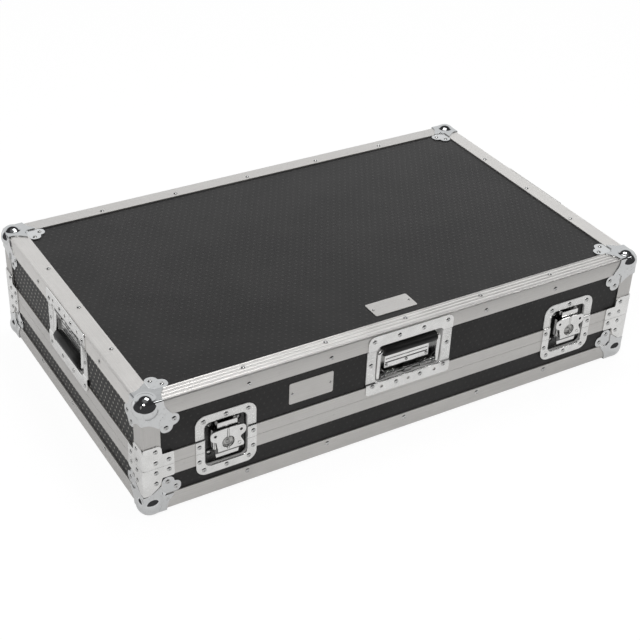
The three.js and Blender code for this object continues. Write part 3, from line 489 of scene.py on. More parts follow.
class Workshop:
    """Turns finished forms into pieces of the scene and hands them to the frame."""

    def __init__(self) -> None:
        """Starts with no pieces."""
        self.names: list[str] = []

    def piece(self, name: str, form: Form, place: Matrix, body: str, slot: str,
              finishes: Sequence[bpy.types.Material], replaces: Sequence[str] = (),
              edging: Edging | None = Edging()) -> bpy.types.Object:
        """Makes a piece of the scene.

        Args:
            name: The piece's name.
            form: Its form in its own frame, in millimetres, which is used up.
            place: The frame that it is laid in.
            body: The body that it rides on.
            slot: The record's material slot, which is not used.
            finishes: Its materials, in the order of the form's slots.
            replaces: The CAD nodes that it stands for.
            edging: How its edges are softened, or None.

        Returns:
            The finished object.
        """
        form.moved(Matrix.Scale(MM, 4) @ place)
        if place.determinant() < 0.0:
            bmesh.ops.reverse_faces(form.mesh, faces=form.mesh.faces)
        mesh = form.handed_over(name)
        for finish in finishes:
            mesh.materials.append(finish)
        mesh.shade_smooth()
        mesh.set_sharp_from_angle(angle=math.radians(SMOOTH_BELOW))
        piece = bpy.data.objects.new(name, mesh)
        bpy.context.scene.collection.objects.link(piece)
        if edging is not None:
            bevel = piece.modifiers.new("soft edges", "BEVEL")
            bevel.limit_method = "ANGLE"
            bevel.angle_limit = math.radians(edging.over)
            bevel.width = edging.width * MM
            bevel.segments = edging.segments
            bevel.profile = 0.5
            bevel.harden_normals = True
        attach(piece, body)
        if replaces:
            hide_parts(*replaces)
        self.names.append(name)
        log.info("%s: %d faces on %s", name, len(mesh.polygons), body)
        return piece


# Shader maths and finishes


class Link:
    """The output of a node, which Python's operators combine with numbers and other links."""

    def __init__(self, graph: Graph, socket: bpy.types.NodeSocket) -> None:
        """Wraps one socket of a graph."""
        self.graph = graph
        self.socket = socket

    def _maths(self, operation: str, first: Value, second: Value = 0.0) -> Link:
        """Adds one Math node."""
        return self.graph.node("ShaderNodeMath", {0: first, 1: second}, operation=operation)

    def __add__(self, other: Value) -> Link:
        """Adds."""
        return self._maths("ADD", self, other)

    def __sub__(self, other: Value) -> Link:
        """Subtracts."""
        return self._maths("SUBTRACT", self, other)

    def __rsub__(self, other: Value) -> Link:
        """Subtracts, reflected."""
        return self._maths("SUBTRACT", other, self)

    def __mul__(self, other: Value) -> Link:
        """Multiplies."""
        return self._maths("MULTIPLY", self, other)

    def __truediv__(self, other: Value) -> Link:
        """Divides."""
        return self._maths("DIVIDE", self, other)

    def __pow__(self, other: Value) -> Link:
        """Raises to a power."""
        return self._maths("POWER", self, other)

    def __mod__(self, other: Value) -> Link:
        """Gives the remainder, never negative."""
        return self._maths("FLOORED_MODULO", self, other)

    def __abs__(self) -> Link:
        """Drops the sign."""
        return self._maths("ABSOLUTE", self)

    def floor(self) -> Link:
        """Rounds down."""
        return self._maths("FLOOR", self)

    def least(self, other: Value) -> Link:
        """Gives the lesser of two values."""
        return self._maths("MINIMUM", self, other)

    def most(self, other: Value) -> Link:
        """Gives the greater of two values."""
        return self._maths("MAXIMUM", self, other)

    def ramp(self, low: float, high: float, at_low: float = 0.0, at_high: float = 1.0) -> Link:
        """Maps a range of values smoothly to another, and holds its ends."""
        inputs = {"Value": self, "From Min": low, "From Max": high,
                  "To Min": at_low, "To Max": at_high}
        return self.graph.node("ShaderNodeMapRange", inputs, interpolation_type="SMOOTHSTEP")


class Graph:
    """The node graph of one material or world."""

    def __init__(self, owner: bpy.types.ID) -> None:
        """Empties the owner's graph and starts a new one."""
        owner.use_nodes = True
        self.tree = owner.node_tree
        self.tree.nodes.clear()

    def node(self, kind: str, inputs: Mapping[Any, Value] | None = None, output: Any = 0,
             **settings: Any) -> Link:
        """Adds any node.

        Args:
            kind: The node's type.
            inputs: The values or links of its sockets, by name or number.
            output: The output that is wanted, by name or number.
            **settings: The node's own settings, set before its sockets.

        Returns:
            The wanted output.
        """
        made = self.tree.nodes.new(kind)
        for name, setting in settings.items():
            setattr(made, name, setting)
        for key, value in (inputs or {}).items():
            if isinstance(value, Link):
                self.tree.links.new(value.socket, made.inputs[key])
            else:
                made.inputs[key].default_value = value
        return Link(self, made.outputs[output])

    def place(self) -> tuple[Link, Link, Link]:
        """Gives X, Y and Z of the point on the object, in millimetres."""
        where = self.node("ShaderNodeTexCoord", output="Object")
        parts = [self.node("ShaderNodeSeparateXYZ", {0: where}, output=i) for i in range(3)]
        x, y, z = (part * (1.0 / MM) for part in parts)
        return x, y, z

    def spot(self, x: Value, y: Value, z: Value) -> Link:
        """Puts three values together as a point."""
        return self.node("ShaderNodeCombineXYZ", {0: x, 1: y, 2: z})

    def noise(self, where: Link, scale: float, detail: float = 2.0, roughness: float = 0.5) -> Link:
        """Gives a cloudy value round a half."""
        inputs = {"Vector": where, "Scale": scale, "Detail": detail, "Roughness": roughness}
        return self.node("ShaderNodeTexNoise", inputs)

    def blend(self, share: Value, first: Value, second: Value) -> Link:
        """Mixes two colours by a share from 0 to 1."""
        return self.node("ShaderNodeMix", {0: share, 6: first, 7: second}, output=2,
                         data_type="RGBA")

    def bump(self, height: Link, distance: float, strength: float = 1.0) -> Link:
        """Makes a normal from a height, its distance in millimetres."""
        return self.node("ShaderNodeBump",
                         {"Height": height, "Distance": distance * MM, "Strength": strength})

    def shade(self, **inputs: Value) -> None:
        """Ends a material in one shader, whose sockets are named with underscores."""
        named = {name.replace("_", " "): value for name, value in inputs.items()}
        self.end("ShaderNodeOutputMaterial", self.node("ShaderNodeBsdfPrincipled", named))

    def end(self, kind: str, surface: Link) -> None:
        """Adds the output node."""
        made = self.tree.nodes.new(kind)
        self.tree.links.new(surface.socket, made.inputs["Surface"])


class Plane(Enum):
    """The plane that a board lies in, by the axis that it faces."""

    LEVEL = "Z"
    ACROSS = "Y"
    ALONG = "X"


class Finish:
    """A surface finish that can be made into a material once."""

    name = "finish"

    def make(self) -> bpy.types.Material:
        """Makes the material."""
        material = bpy.data.materials.new(self.name)
        self.dress(Graph(material))
        return material

    def dress(self, graph: Graph) -> None:
        """Builds the finish's nodes."""
        raise NotImplementedError


@dataclass(frozen=True)
class Laminate(Finish):
    """Black laminate with small raised dots in staggered rows."""

    plane: Plane
    pitch: float = 12.5
    row: float = 10.4
    dot: float = 2.4
    dark: Colour = (0.0135, 0.013, 0.013, 1.0)
    light: Colour = (0.022, 0.021, 0.021, 1.0)
    dot_colour: Colour = (0.42, 0.41, 0.37, 1.0)

    @property
    def name(self) -> str:
        """Names the material."""
        return f"black_laminate_{self.plane.name.lower()}"

    def dress(self, graph: Graph) -> None:
        """Builds the finish's nodes."""
        x, y, z = graph.place()
        u, v = {Plane.LEVEL: (x, y), Plane.ACROSS: (x, z), Plane.ALONG: (y, z)}[self.plane]
        rows = v / self.row
        shift = (rows.floor() % 2.0) * 0.5
        across = (((u / self.pitch) + shift) % 1.0 - 0.5) * self.pitch
        up = (rows % 1.0 - 0.5) * self.row
        away = (across * across + up * up) ** 0.5
        dots = away.ramp(self.dot, self.dot * 0.4)
        where = graph.spot(x, y, z)
        clouds = graph.noise(where, 0.012, 3.0)
        grain = graph.noise(where, 1.6, 2.0)
        dust = graph.noise(where, 0.35, 4.0, 0.7).ramp(0.62, 0.78)
        shade = (clouds * 0.7 + grain * 0.3).ramp(0.3, 0.7)
        ground = graph.blend(shade, self.dark, self.light)
        dusted = graph.blend(dust * 0.25, ground, (0.14, 0.14, 0.135, 1.0))
        # Painted highlight: the raised dots are painted light nearly fully on the end boards, where
        # the side light catches them, and only faintly on the top and the long boards.
        dot_sheen = {Plane.LEVEL: 0.035, Plane.ACROSS: 0.035, Plane.ALONG: 0.95}[self.plane]
        colour = graph.blend(dots * dot_sheen, dusted, self.dot_colour)
        rough = grain.ramp(0.3, 0.7, 0.36, 0.46) - dots * 0.12 + dust * 0.1
        height = dots * (0.8 if self.plane is Plane.ALONG else 0.3) + grain * 0.16
        graph.shade(Base_Color=colour, Roughness=rough, Normal=graph.bump(height, 0.35, 0.8),
                    Specular_IOR_Level=0.14 if self.plane is Plane.ALONG else 0.28)


class Run(Enum):
    """Which value counts the lines that run along an extrusion."""

    RIM = "z"
    LONG_TOP = "y"
    SHORT_TOP = "x"
    RIBBED = "ribbed y"
    UPRIGHT = "x and y"


@dataclass(frozen=True)
class Extruded(Finish):
    """Satin anodised aluminium with the fine lines of its die, painted lighter or darker by how the
    light falls on each run and on its top legs.
    """

    run: Run
    rib: float = 7.55
    rib_shift: float = 1.7
    dark: Colour = (0.67, 0.655, 0.635, 1.0)
    light: Colour = (0.79, 0.775, 0.755, 1.0)
    # Painted light and shade: multipliers of the metal's colours for the upright faces and for the
    # top legs of each run.
    painted_light_tones: ClassVar[Mapping[Run, tuple[float, float]]] = {
        Run.RIM: (0.89, 0.89), Run.UPRIGHT: (0.85, 0.85), Run.SHORT_TOP: (1.14, 1.2),
        Run.RIBBED: (0.91, 1.22)}

    @property
    def name(self) -> str:
        """Names the material."""
        return f"anodised_aluminium_{self.run.name.lower()}"

    def toned(self, graph: Graph, shade: Link, tone: float) -> Link:
        """Blends the metal's two colours, both painted lighter or darker for how the light falls.

        Args:
            graph: The material's graph.
            shade: The share of the lighter colour.
            tone: What both colours are multiplied by, for the painted light or shade.

        Returns:
            The blended colour.
        """
        dark, light = ((*(part * tone for part in colour[:3]), 1.0)
                       for colour in (self.dark, self.light))
        return graph.blend(shade, dark, light)

    def dress(self, graph: Graph) -> None:
        """Builds the finish's nodes."""
        x, y, z = graph.place()
        count = {Run.RIM: z, Run.SHORT_TOP: x + z, Run.UPRIGHT: x - y}.get(self.run, y + z)
        along = {Run.RIM: x + y, Run.SHORT_TOP: y, Run.UPRIGHT: z}.get(self.run, x)
        lines = graph.noise(graph.spot(count, along * 0.004, 0.0), 1.3, 3.0, 0.6)
        fine = graph.noise(graph.spot(count, along * 0.01, 3.0), 4.0, 2.0, 0.6)
        clouds = graph.noise(graph.spot(x, y, z), 0.02, 2.0)
        scuff = graph.noise(graph.spot(x, y, z), 0.22, 5.0, 0.75).ramp(0.6, 0.72)
        shade = (lines * 0.5 + fine * 0.2 + clouds * 0.3).ramp(0.36, 0.64)
        # Painted light and shade: the upright faces and the top legs get their own lighter or darker
        # copies of the metal's colours.
        upright, level = self.painted_light_tones.get(self.run, (0.91, 1.06))
        top = z.ramp(CASE.top - 2.5, CASE.top - 0.5)
        ground = graph.blend(top, self.toned(graph, shade, upright),
                             self.toned(graph, shade, level))
        colour = graph.blend(scuff * 0.3, ground, (0.4, 0.39, 0.37, 1.0))
        rough = (lines * 0.6 + clouds * 0.4).ramp(0.3, 0.7, 0.34, 0.48) + scuff * 0.08
        height = lines.ramp(0.35, 0.65) * 0.7 + fine * 0.3
        if self.run is Run.RIBBED:
            wave = abs((((y + self.rib_shift) / self.rib) % 1.0) * 2.0 - 1.0)
            groove = wave.ramp(0.5, 0.95) * z.ramp(CASE.top - 1.0,
                                                    CASE.top - 0.5)
            # Painted shade in the troughs of the ribbed leg.
            colour = graph.blend(groove * 0.5, colour, (0.45, 0.445, 0.44, 1.0))
            height = height - groove * 2.0
        graph.shade(Base_Color=colour, Roughness=rough, Metallic=0.9,
                    Normal=graph.bump(height, 0.05, 0.7))


@dataclass(frozen=True)
class Plated(Finish):
    """Pressed steel, bright with zinc plate and faintly mottled, with painted shade deep in its
    recesses and painted shadow bands.
    """

    name: str = "zinc_plated_steel"
    dark: Colour = (0.79, 0.787, 0.775, 1.0)
    light: Colour = (0.9, 0.896, 0.885, 1.0)
    smooth: float = 0.16
    dull: float = 0.28
    # These fields place painted shade and painted shadow: how deep into a recess the painted shade is
    # full, the heights between which it is painted, a band of heights painted as a shadow line, and
    # how far from the middle that band begins.
    recess: float = 0.0
    shaded_heights: tuple[float, float] = (0.0, 400.0)
    shadow_band: tuple[float, float] | None = None
    beyond: tuple[float, float] = (-2.0, -1.0)

    def dress(self, graph: Graph) -> None:
        """Builds the finish's nodes."""
        x, y, z = graph.place()
        where = graph.spot(x, y, z)
        clouds = graph.noise(where, 0.05, 3.0)
        mottle = graph.noise(where, 0.6, 3.0, 0.65)
        scuff = graph.noise(graph.spot(x, y, z * 6.0), 0.3, 4.0, 0.7).ramp(0.6, 0.74)
        colour = graph.blend((clouds * 0.5 + mottle * 0.5).ramp(0.35, 0.65), self.dark, self.light)
        rough = mottle.ramp(0.3, 0.7, self.smooth, self.dull) + scuff * 0.1
        metal: Value = 1.0
        # Painted shade: past a depth inside the case's face, and between the given heights, the
        # colour is painted nearly black in mottled patches and made a little rougher.
        if self.recess > 0.0:
            inside = (CASE.length / 2 - abs(x)).least(CASE.depth / 2 - abs(y))
            painted_shade = inside.ramp(self.recess - 3.5, self.recess) * mottle.ramp(0.2, 0.6, 0.88, 1.0)
            low, high = self.shaded_heights
            shade_height_mask = z.ramp(low - 3.0, low + 3.0) * z.ramp(high + 3.0, high - 3.0)
            painted_shade = painted_shade * shade_height_mask
            metal = 1.0 - (1.0 - painted_shade) * inside.ramp(-0.2, 1.2) * 0.75
            # The painted shade's nearly black colour.
            colour = graph.blend(painted_shade * 0.96, colour, (0.024, 0.024, 0.024, 1.0))
            rough = rough + painted_shade * 0.08
        # Painted shadow: a thin band of heights painted nearly black where a shadow line falls, along
        # a crank or under the latch's wings, from the given distance from the middle outwards.
        if self.shadow_band is not None:
            low, high = self.shadow_band
            band = z.ramp(low, low + 1.6) * z.ramp(high + 0.8, high) * abs(x).ramp(*self.beyond)
            colour = graph.blend(band * 0.88, colour, (0.06, 0.06, 0.06, 1.0))
        graph.shade(Base_Color=colour, Roughness=rough, Metallic=metal,
                    Normal=graph.bump(mottle * 0.6 + clouds * 0.4, 0.06, 0.5))


@dataclass(frozen=True)
class Chromed(Finish):
    """Polished chrome plate on pressed steel, with faint smears, its upward faces painted darker."""

    name: str = "chrome_plate"

    def dress(self, graph: Graph) -> None:
        """Builds the finish's nodes."""
        x, y, z = graph.place()
        where = graph.spot(x, y, z)
        waves = graph.noise(where, 0.06, 1.0)
        smear = graph.noise(graph.spot(x, y * 3.0, z), 0.16, 4.0, 0.7).ramp(0.5, 0.75)
        plate = graph.blend(smear, (0.7, 0.708, 0.712, 1.0), (0.6, 0.605, 0.607, 1.0))
        # Painted shade: the upward faces of the lid's corners are painted darker, for the dimmer
        # reflection that they show.
        top = z.ramp(CASE.top - 1.0, CASE.top + 0.5)
        colour = graph.blend(top, plate, (0.53, 0.54, 0.545, 1.0))
        graph.shade(Base_Color=colour, Roughness=smear.ramp(0.0, 1.0, 0.07, 0.16), Metallic=1.0,
                    Normal=graph.bump(waves, 0.12, 0.5))


@dataclass(frozen=True)
class Rubber(Finish):
    """Black moulded rubber."""

    name: str = "black_rubber"

    def dress(self, graph: Graph) -> None:
        """Builds the finish's nodes."""
        x, y, z = graph.place()
        where = graph.spot(x, y, z)
        grain = graph.noise(where, 2.2, 3.0)
        clouds = graph.noise(where, 0.08, 2.0)
        colour = graph.blend(clouds, (0.006, 0.006, 0.006, 1.0), (0.013, 0.0127, 0.0124, 1.0))
        graph.shade(Base_Color=colour, Roughness=grain.ramp(0.3, 0.7, 0.3, 0.42),
                    Normal=graph.bump(grain, 0.12, 0.6), Specular_IOR_Level=0.28)


@dataclass(frozen=True)
class Foam(Finish):
    """Dark closed-cell foam sheet."""

    name: str = "black_foam"

    def dress(self, graph: Graph) -> None:
        """Builds the finish's nodes."""
        x, y, z = graph.place()
        where = graph.spot(x, y, z)
        cells = graph.node("ShaderNodeTexVoronoi", {"Vector": where, "Scale": 0.9},
                           output="Distance")
        clouds = graph.noise(where, 0.03, 3.0)
        pores = graph.noise(where, 1.2, 3.0)
        colour = graph.blend(clouds * 0.6 + pores * 0.4, (0.02, 0.02, 0.021, 1.0),
                             (0.05, 0.05, 0.052, 1.0))
        graph.shade(Base_Color=colour, Roughness=pores.ramp(0.3, 0.7, 0.8, 0.95),
                    Normal=graph.bump(cells * 0.6 + pores * 0.4, 0.5, 0.7))


@dataclass(frozen=True)
class PalePaper(Finish):
    """The pale sweep that the case stands on."""

    name: str = "pale_sweep"
    lift: float = 0.85
    mirrored_lift: float = 0.25
    glow: float = 1.08

    def dress(self, graph: Graph) -> None:
        """Builds the finish's nodes: paper that the camera and the metal see as nearly white."""
        x, y, z = graph.place()
        clouds = graph.noise(graph.spot(x, y, z), 0.004, 2.0)
        colour = graph.blend(clouds, (0.84, 0.84, 0.84, 1.0), (0.87, 0.87, 0.87, 1.0))
        paper = graph.node("ShaderNodeBsdfPrincipled", {
            "Base Color": colour, "Roughness": clouds.ramp(0.0, 1.0, 0.85, 0.9)})
        white = graph.node("ShaderNodeEmission", {"Color": WHITE, "Strength": self.glow})
        seen = graph.node("ShaderNodeLightPath", output="Is Camera Ray")
        mirrored = graph.node("ShaderNodeLightPath", output="Is Glossy Ray")
        share = (seen * self.lift).most(mirrored * self.mirrored_lift)
        pale = graph.node("ShaderNodeMixShader", {0: share, 1: paper, 2: white})
        shadow = graph.node("ShaderNodeEmission", {"Color": GLOOM, "Strength": 1.0})
        towards, across = x * -0.52 - y * 0.85, x * 0.85 - y * 0.52
        figure = towards.ramp(900.0, 1100.0) * abs(across + 150.0).ramp(900.0, 700.0)
        graph.end("ShaderNodeOutputMaterial", graph.node(
            "ShaderNodeMixShader", {0: mirrored * figure, 1: pale, 2: shadow}))


class Finishes:
    """Every finish of the case, each made once."""

    def __init__(self) -> None:
        """Makes the materials."""
        self.laminate = {plane: Laminate(plane).make() for plane in Plane}
        self.extruded = {run: Extruded(run).make() for run in Run}
        self.steel = Plated().make()
        # Painted shade deep in the dishes' recesses; the latch's and the front handle's dishes also
        # get a painted shadow line along the crank of their flange.
        self.latch_dish = Plated("zinc_plated_latch_dish", recess=7.0, shaded_heights=(40.0, 200.0),
                                 shadow_band=(118.2, 119.6)).make()
        self.front_dish = Plated("zinc_plated_front_dish", recess=8.0, shaded_heights=(90.0, 146.0),
                                 shadow_band=(120.6, 122.8), beyond=(63.0, 66.0)).make()
        self.side_dish = Plated("zinc_plated_side_dish", recess=12.0, shaded_heights=(170.0, 220.0)).make()
        # The hook plate gets a painted shadow band under the feet of the wings.
        self.hook = Plated("zinc_plated_hook", shadow_band=(84.6, 95.0)).make()
        self.shelf, self.cast, self.spring, self.rivet = (
            Plated(name, dark, light, smooth, dull).make() for name, dark, light, smooth, dull in (
                # The shelf's steel is painted lighter than the plain steel: painted light where it
                # lies in the grip's shade.
                ("shelf_steel_painted_light", (0.86, 0.857, 0.85, 1.0), (0.94, 0.938, 0.93, 1.0), 0.2, 0.3),
                ("dull_cast_hub", (0.2, 0.198, 0.19, 1.0), (0.72, 0.715, 0.7, 1.0), 0.26, 0.4),
                # The pivot rod's and the saddles' steel is painted dark: painted shade round the
                # springs.
                ("pivot_steel_painted_shade", (0.2, 0.2, 0.198, 1.0), (0.36, 0.36, 0.355, 1.0), 0.1, 0.2),
                # The rivets' steel is painted darker than the plates: painted shade round their domed
                # heads; the springs share it.
                ("rivet_steel_painted_shade", (0.5, 0.5, 0.495, 1.0), (0.7, 0.7, 0.69, 1.0), 0.12, 0.22)))
        self.chrome = Chromed().make()
        self.rubber = Rubber().make()
        self.foam = Foam().make()
        self.paper = PalePaper().make()

    def for_node(self, name: str) -> bpy.types.Material:
        """Gives the finish of a CAD node.

        Args:
            name: The node's name.

        Returns:
            Its material.
        """
        across = "front" in name or "back" in name
        if "board" in name:
            if "floor" in name or "_top_" in name:
                return self.laminate[Plane.LEVEL]
            return self.laminate[Plane.ACROSS if across else Plane.ALONG]
        if "top_angle" in name:
            long_run = Run.RIBBED if "front" in name else Run.LONG_TOP
            return self.extruded[long_run if across else Run.SHORT_TOP]
        rim = self.extruded[Run.RIM]
        for part, finish in {"foam": self.foam, "grip": self.rubber, "angle": rim, "rim": rim,
                             "ball": self.chrome}.items():
            if part in name:
                return finish
        return self.steel


# Rivets and plates


@dataclass(frozen=True)
class Rivet:
    """One pop rivet: where it sits in its frame, how deep, and how large."""

    x: float
    z: float
    depth: float = 0.0
    radius: float = 4.0


@dataclass
class RivetSet:
    """All the pop rivets that ride on one body."""

    name: str
    body: str
    head: float = 1.4
    sides: int = 16
    places: list[tuple[Matrix, Rivet]] = field(default_factory=list)

    def add(self, frame: Matrix, rivets: Iterable[Rivet]) -> None:
        """Adds rivets in one frame."""
        self.places.extend((frame, rivet) for rivet in rivets)

    def dome(self, radius: float) -> bpy.types.Mesh:
        """Turns one rivet head with the small pit that its mandrel leaves.

        Args:
            radius: The radius of the head.

        Returns:
            The head's mesh, its back on Y = 0.
        """
        head = self.head
        profile = [(0.25, radius * 0.98), (-head * 0.32, radius), (-head * 0.68, radius * 0.84),
                   (-head * 0.96, radius * 0.56), (-head, radius * 0.38),
                   (-head * 0.72, radius * 0.26), (-head * 0.66, 0.0)]
        form = Form().lathe(profile, "Y", (0.0, 0.0, 0.0), self.sides)
        bmesh.ops.holes_fill(form.mesh, edges=form.mesh.edges, sides=0)
        return form.close().handed_over("rivet head")

    def build(self, shop: Workshop, finishes: Finishes) -> None:
        """Lays every head in its place and makes one piece of them."""
        form = Form()
        heads: dict[float, bpy.types.Mesh] = {}
        for frame, rivet in self.places:
            if rivet.radius not in heads:
                heads[rivet.radius] = self.dome(rivet.radius)
            count = len(form.mesh.verts)
            form.mesh.from_mesh(heads[rivet.radius])
            form.mesh.verts.ensure_lookup_table()
            place = frame @ Matrix.Translation((rivet.x, rivet.depth, rivet.z))
            bmesh.ops.transform(form.mesh, matrix=place, verts=form.mesh.verts[count:])
        for mesh in heads.values():
            bpy.data.meshes.remove(mesh)
        shop.piece(self.name, form, Matrix.Identity(4), self.body, "steel", [finishes.rivet],
                   edging=None)


@dataclass(frozen=True)
class NamePlate:
    """A bare riveted plate."""

    name: str
    run: Run
    x: float
    z: float
    width: float
    tall: float
    thickness: float = 0.8
    corner: float = 3.0
    rivet_inset: float = 5.5

    def build(self, frame: Matrix, shop: Workshop, finishes: Finishes, rivets: RivetSet) -> None:
        """Makes the plate and its two rivets in the frame of one face."""
        half, rise = self.width / 2, self.tall / 2
        front = CASE.board_face - self.thickness
        outline = slab(self.x - half, self.x + half, self.z - rise, self.z + rise,
                       self.corner, self.corner)
        form = Form().plate(outline, front, CASE.board_face + 0.1).close()
        shop.piece(self.name, form, frame, "lid", "aluminium", [finishes.extruded[self.run]])
        rivets.add(frame, [Rivet(self.x + hand * (half - self.rivet_inset), self.z, front, 2.2)
                           for hand in (-1, 1)])


# Corners


@dataclass(frozen=True)
class BallCorner:
    """A pressed ball corner: a dome that blends into three leaves, each with two cranked lobes."""

    radius: float = 21.0
    inset: float = 13.5
    face: float = -1.7
    thickness: float = 1.5
    reach: float = 36.3
    shoulder_across: float = 50.5
    shoulder_along: float = 28.9
    slit_end: float = 33.4
    lobe_face: float = 0.4
    lobe_start: float = 30.1
    lobe_far: float = 62.0
    lobe_high: float = 49.0
    lobe_radius: float = 9.0
    valley: float = 51.3
    crank_start: float = 63.6
    crank: float = 3.6
    crank_cuts: int = 4
    fillet: float = 1.6
    fold: float = 4.0
    cells: int = 36
    rivets: tuple[tuple[float, float], ...] = ((39.5, 53.5), (53.0, 40.0))

    def outline(self) -> list[Vector]:
        """Gives one leaf's outline: its folds, its flared sides and, past the slits, its lobes."""
        start, slit, far, high = self.lobe_start, self.slit_end, self.lobe_far, self.lobe_high
        half = [
            Bend(self.reach, self.face),
            Bend(self.reach + 1.3, self.shoulder_along * 0.42, 24.0),
            Bend(self.shoulder_across, self.shoulder_along, 1.2),
            Bend(slit, self.shoulder_along, 0.6), Bend(slit, start, 0.6),
            Bend(far, start, 9.2), Bend(far, high, self.lobe_radius),
        ]
        other = [Bend(bend.z, bend.x, bend.radius) for bend in reversed(half)]
        middle = Bend(self.valley, self.valley, 2.5)
        return rounded([Bend(self.face, self.face)] + half + [middle] + other)

    def leaf(self) -> Form:
        """Lays one leaf as a fine grid, its lobes let down past the crank."""
        form = Form()
        form.mesh.faces.new([form.mesh.verts.new((p.x, p.z, self.face)) for p in self.outline()])
        step = (self.reach - self.face) / self.cells
        for index in range(1, self.cells):
            place = self.face + step * index
            for normal in ((1, 0, 0), (0, 1, 0)):
                form.cut((place, place, 0), normal)
        lobe = [one for one in form.mesh.faces
                if min(one.calc_center_median().xy) > (self.shoulder_along + self.lobe_start) / 2]
        geometry = set(lobe) | {e for one in lobe for e in one.edges} | {
            v for one in lobe for v in one.verts}
        for index in range(self.crank_cuts + 1):
            place = (self.crank_start + self.crank * index / self.crank_cuts) / 2
            made = bmesh.ops.bisect_plane(form.mesh, geom=list(geometry), dist=0.0001,
                                          plane_co=(place, place, 0), plane_no=(1, 1, 0))
            geometry = set(made["geom"])
        for vert in form.mesh.verts:
            if min(vert.co.xy) > (self.shoulder_along + self.lobe_start) / 2:
                share = eased((vert.co.x + vert.co.y - self.crank_start) / self.crank)
                vert.co.z += (self.lobe_face - self.face) * share
        return form

    def swell(self, form: Form) -> None:
        """Pushes the leaves out to the dome and rounds the folds between them."""
        centre = Vector((self.inset,) * 3)
        flat = self.inset - self.face
        for vert in form.mesh.verts:
            away = vert.co - centre
            length = away.length
            way = away / length
            walls = sorted(flat / -part if part < -0.05 else 1000.0 for part in way)
            sheet = self.smooth_least(length, walls[1], self.fold)
            sheet -= (sheet - self.radius * 0.8) * eased((0.08 - max(way)) / 0.3)
            vert.co = centre - way * self.smooth_least(-sheet, -self.radius, self.fillet)

    @staticmethod
    def smooth_least(first: float, second: float, width: float) -> float:
        """Gives the lesser of two values, rounded off where they meet."""
        share = max(width - abs(first - second), 0.0) / width
        return min(first, second) - share * share * width / 4

    @staticmethod
    def turns() -> list[Matrix]:
        """Gives the turns that bring the first leaf to each of the three."""
        return [turned(turn, Vector((1, 1, 1))) for turn in (0, 120, 240)]

    def form(self) -> Form:
        """Builds the whole corner in the frame of its own point."""
        form = self.leaf()
        form.turned_copies(self.turns()[1:])
        bmesh.ops.remove_doubles(form.mesh, verts=form.mesh.verts, dist=NEAR)
        self.swell(form)
        return form.face((-1, -1, -1)).shell(self.thickness)

    def build(self, shop: Workshop, finishes: Finishes, rivets: Mapping[bool, RivetSet]) -> None:
        """Makes the eight corners and their rivets."""
        for corner in CASE_CORNERS:
            for top in (False, True):
                which = "top" if top else "bottom"
                frame = corner.frame(top)
                shop.piece(f"{which}_corner_{corner.name}", self.form(), frame,
                           "lid" if top else "base", "chrome", [finishes.chrome],
                           [f"{which}_ball_corner_{corner.name}"], Edging(0.35, 2, 60.0))
                for turn in self.turns():
                    rivets[top].add(frame @ turn @ SWAP_YZ,
                                    [Rivet(a, b, self.lobe_face) for a, b in self.rivets])


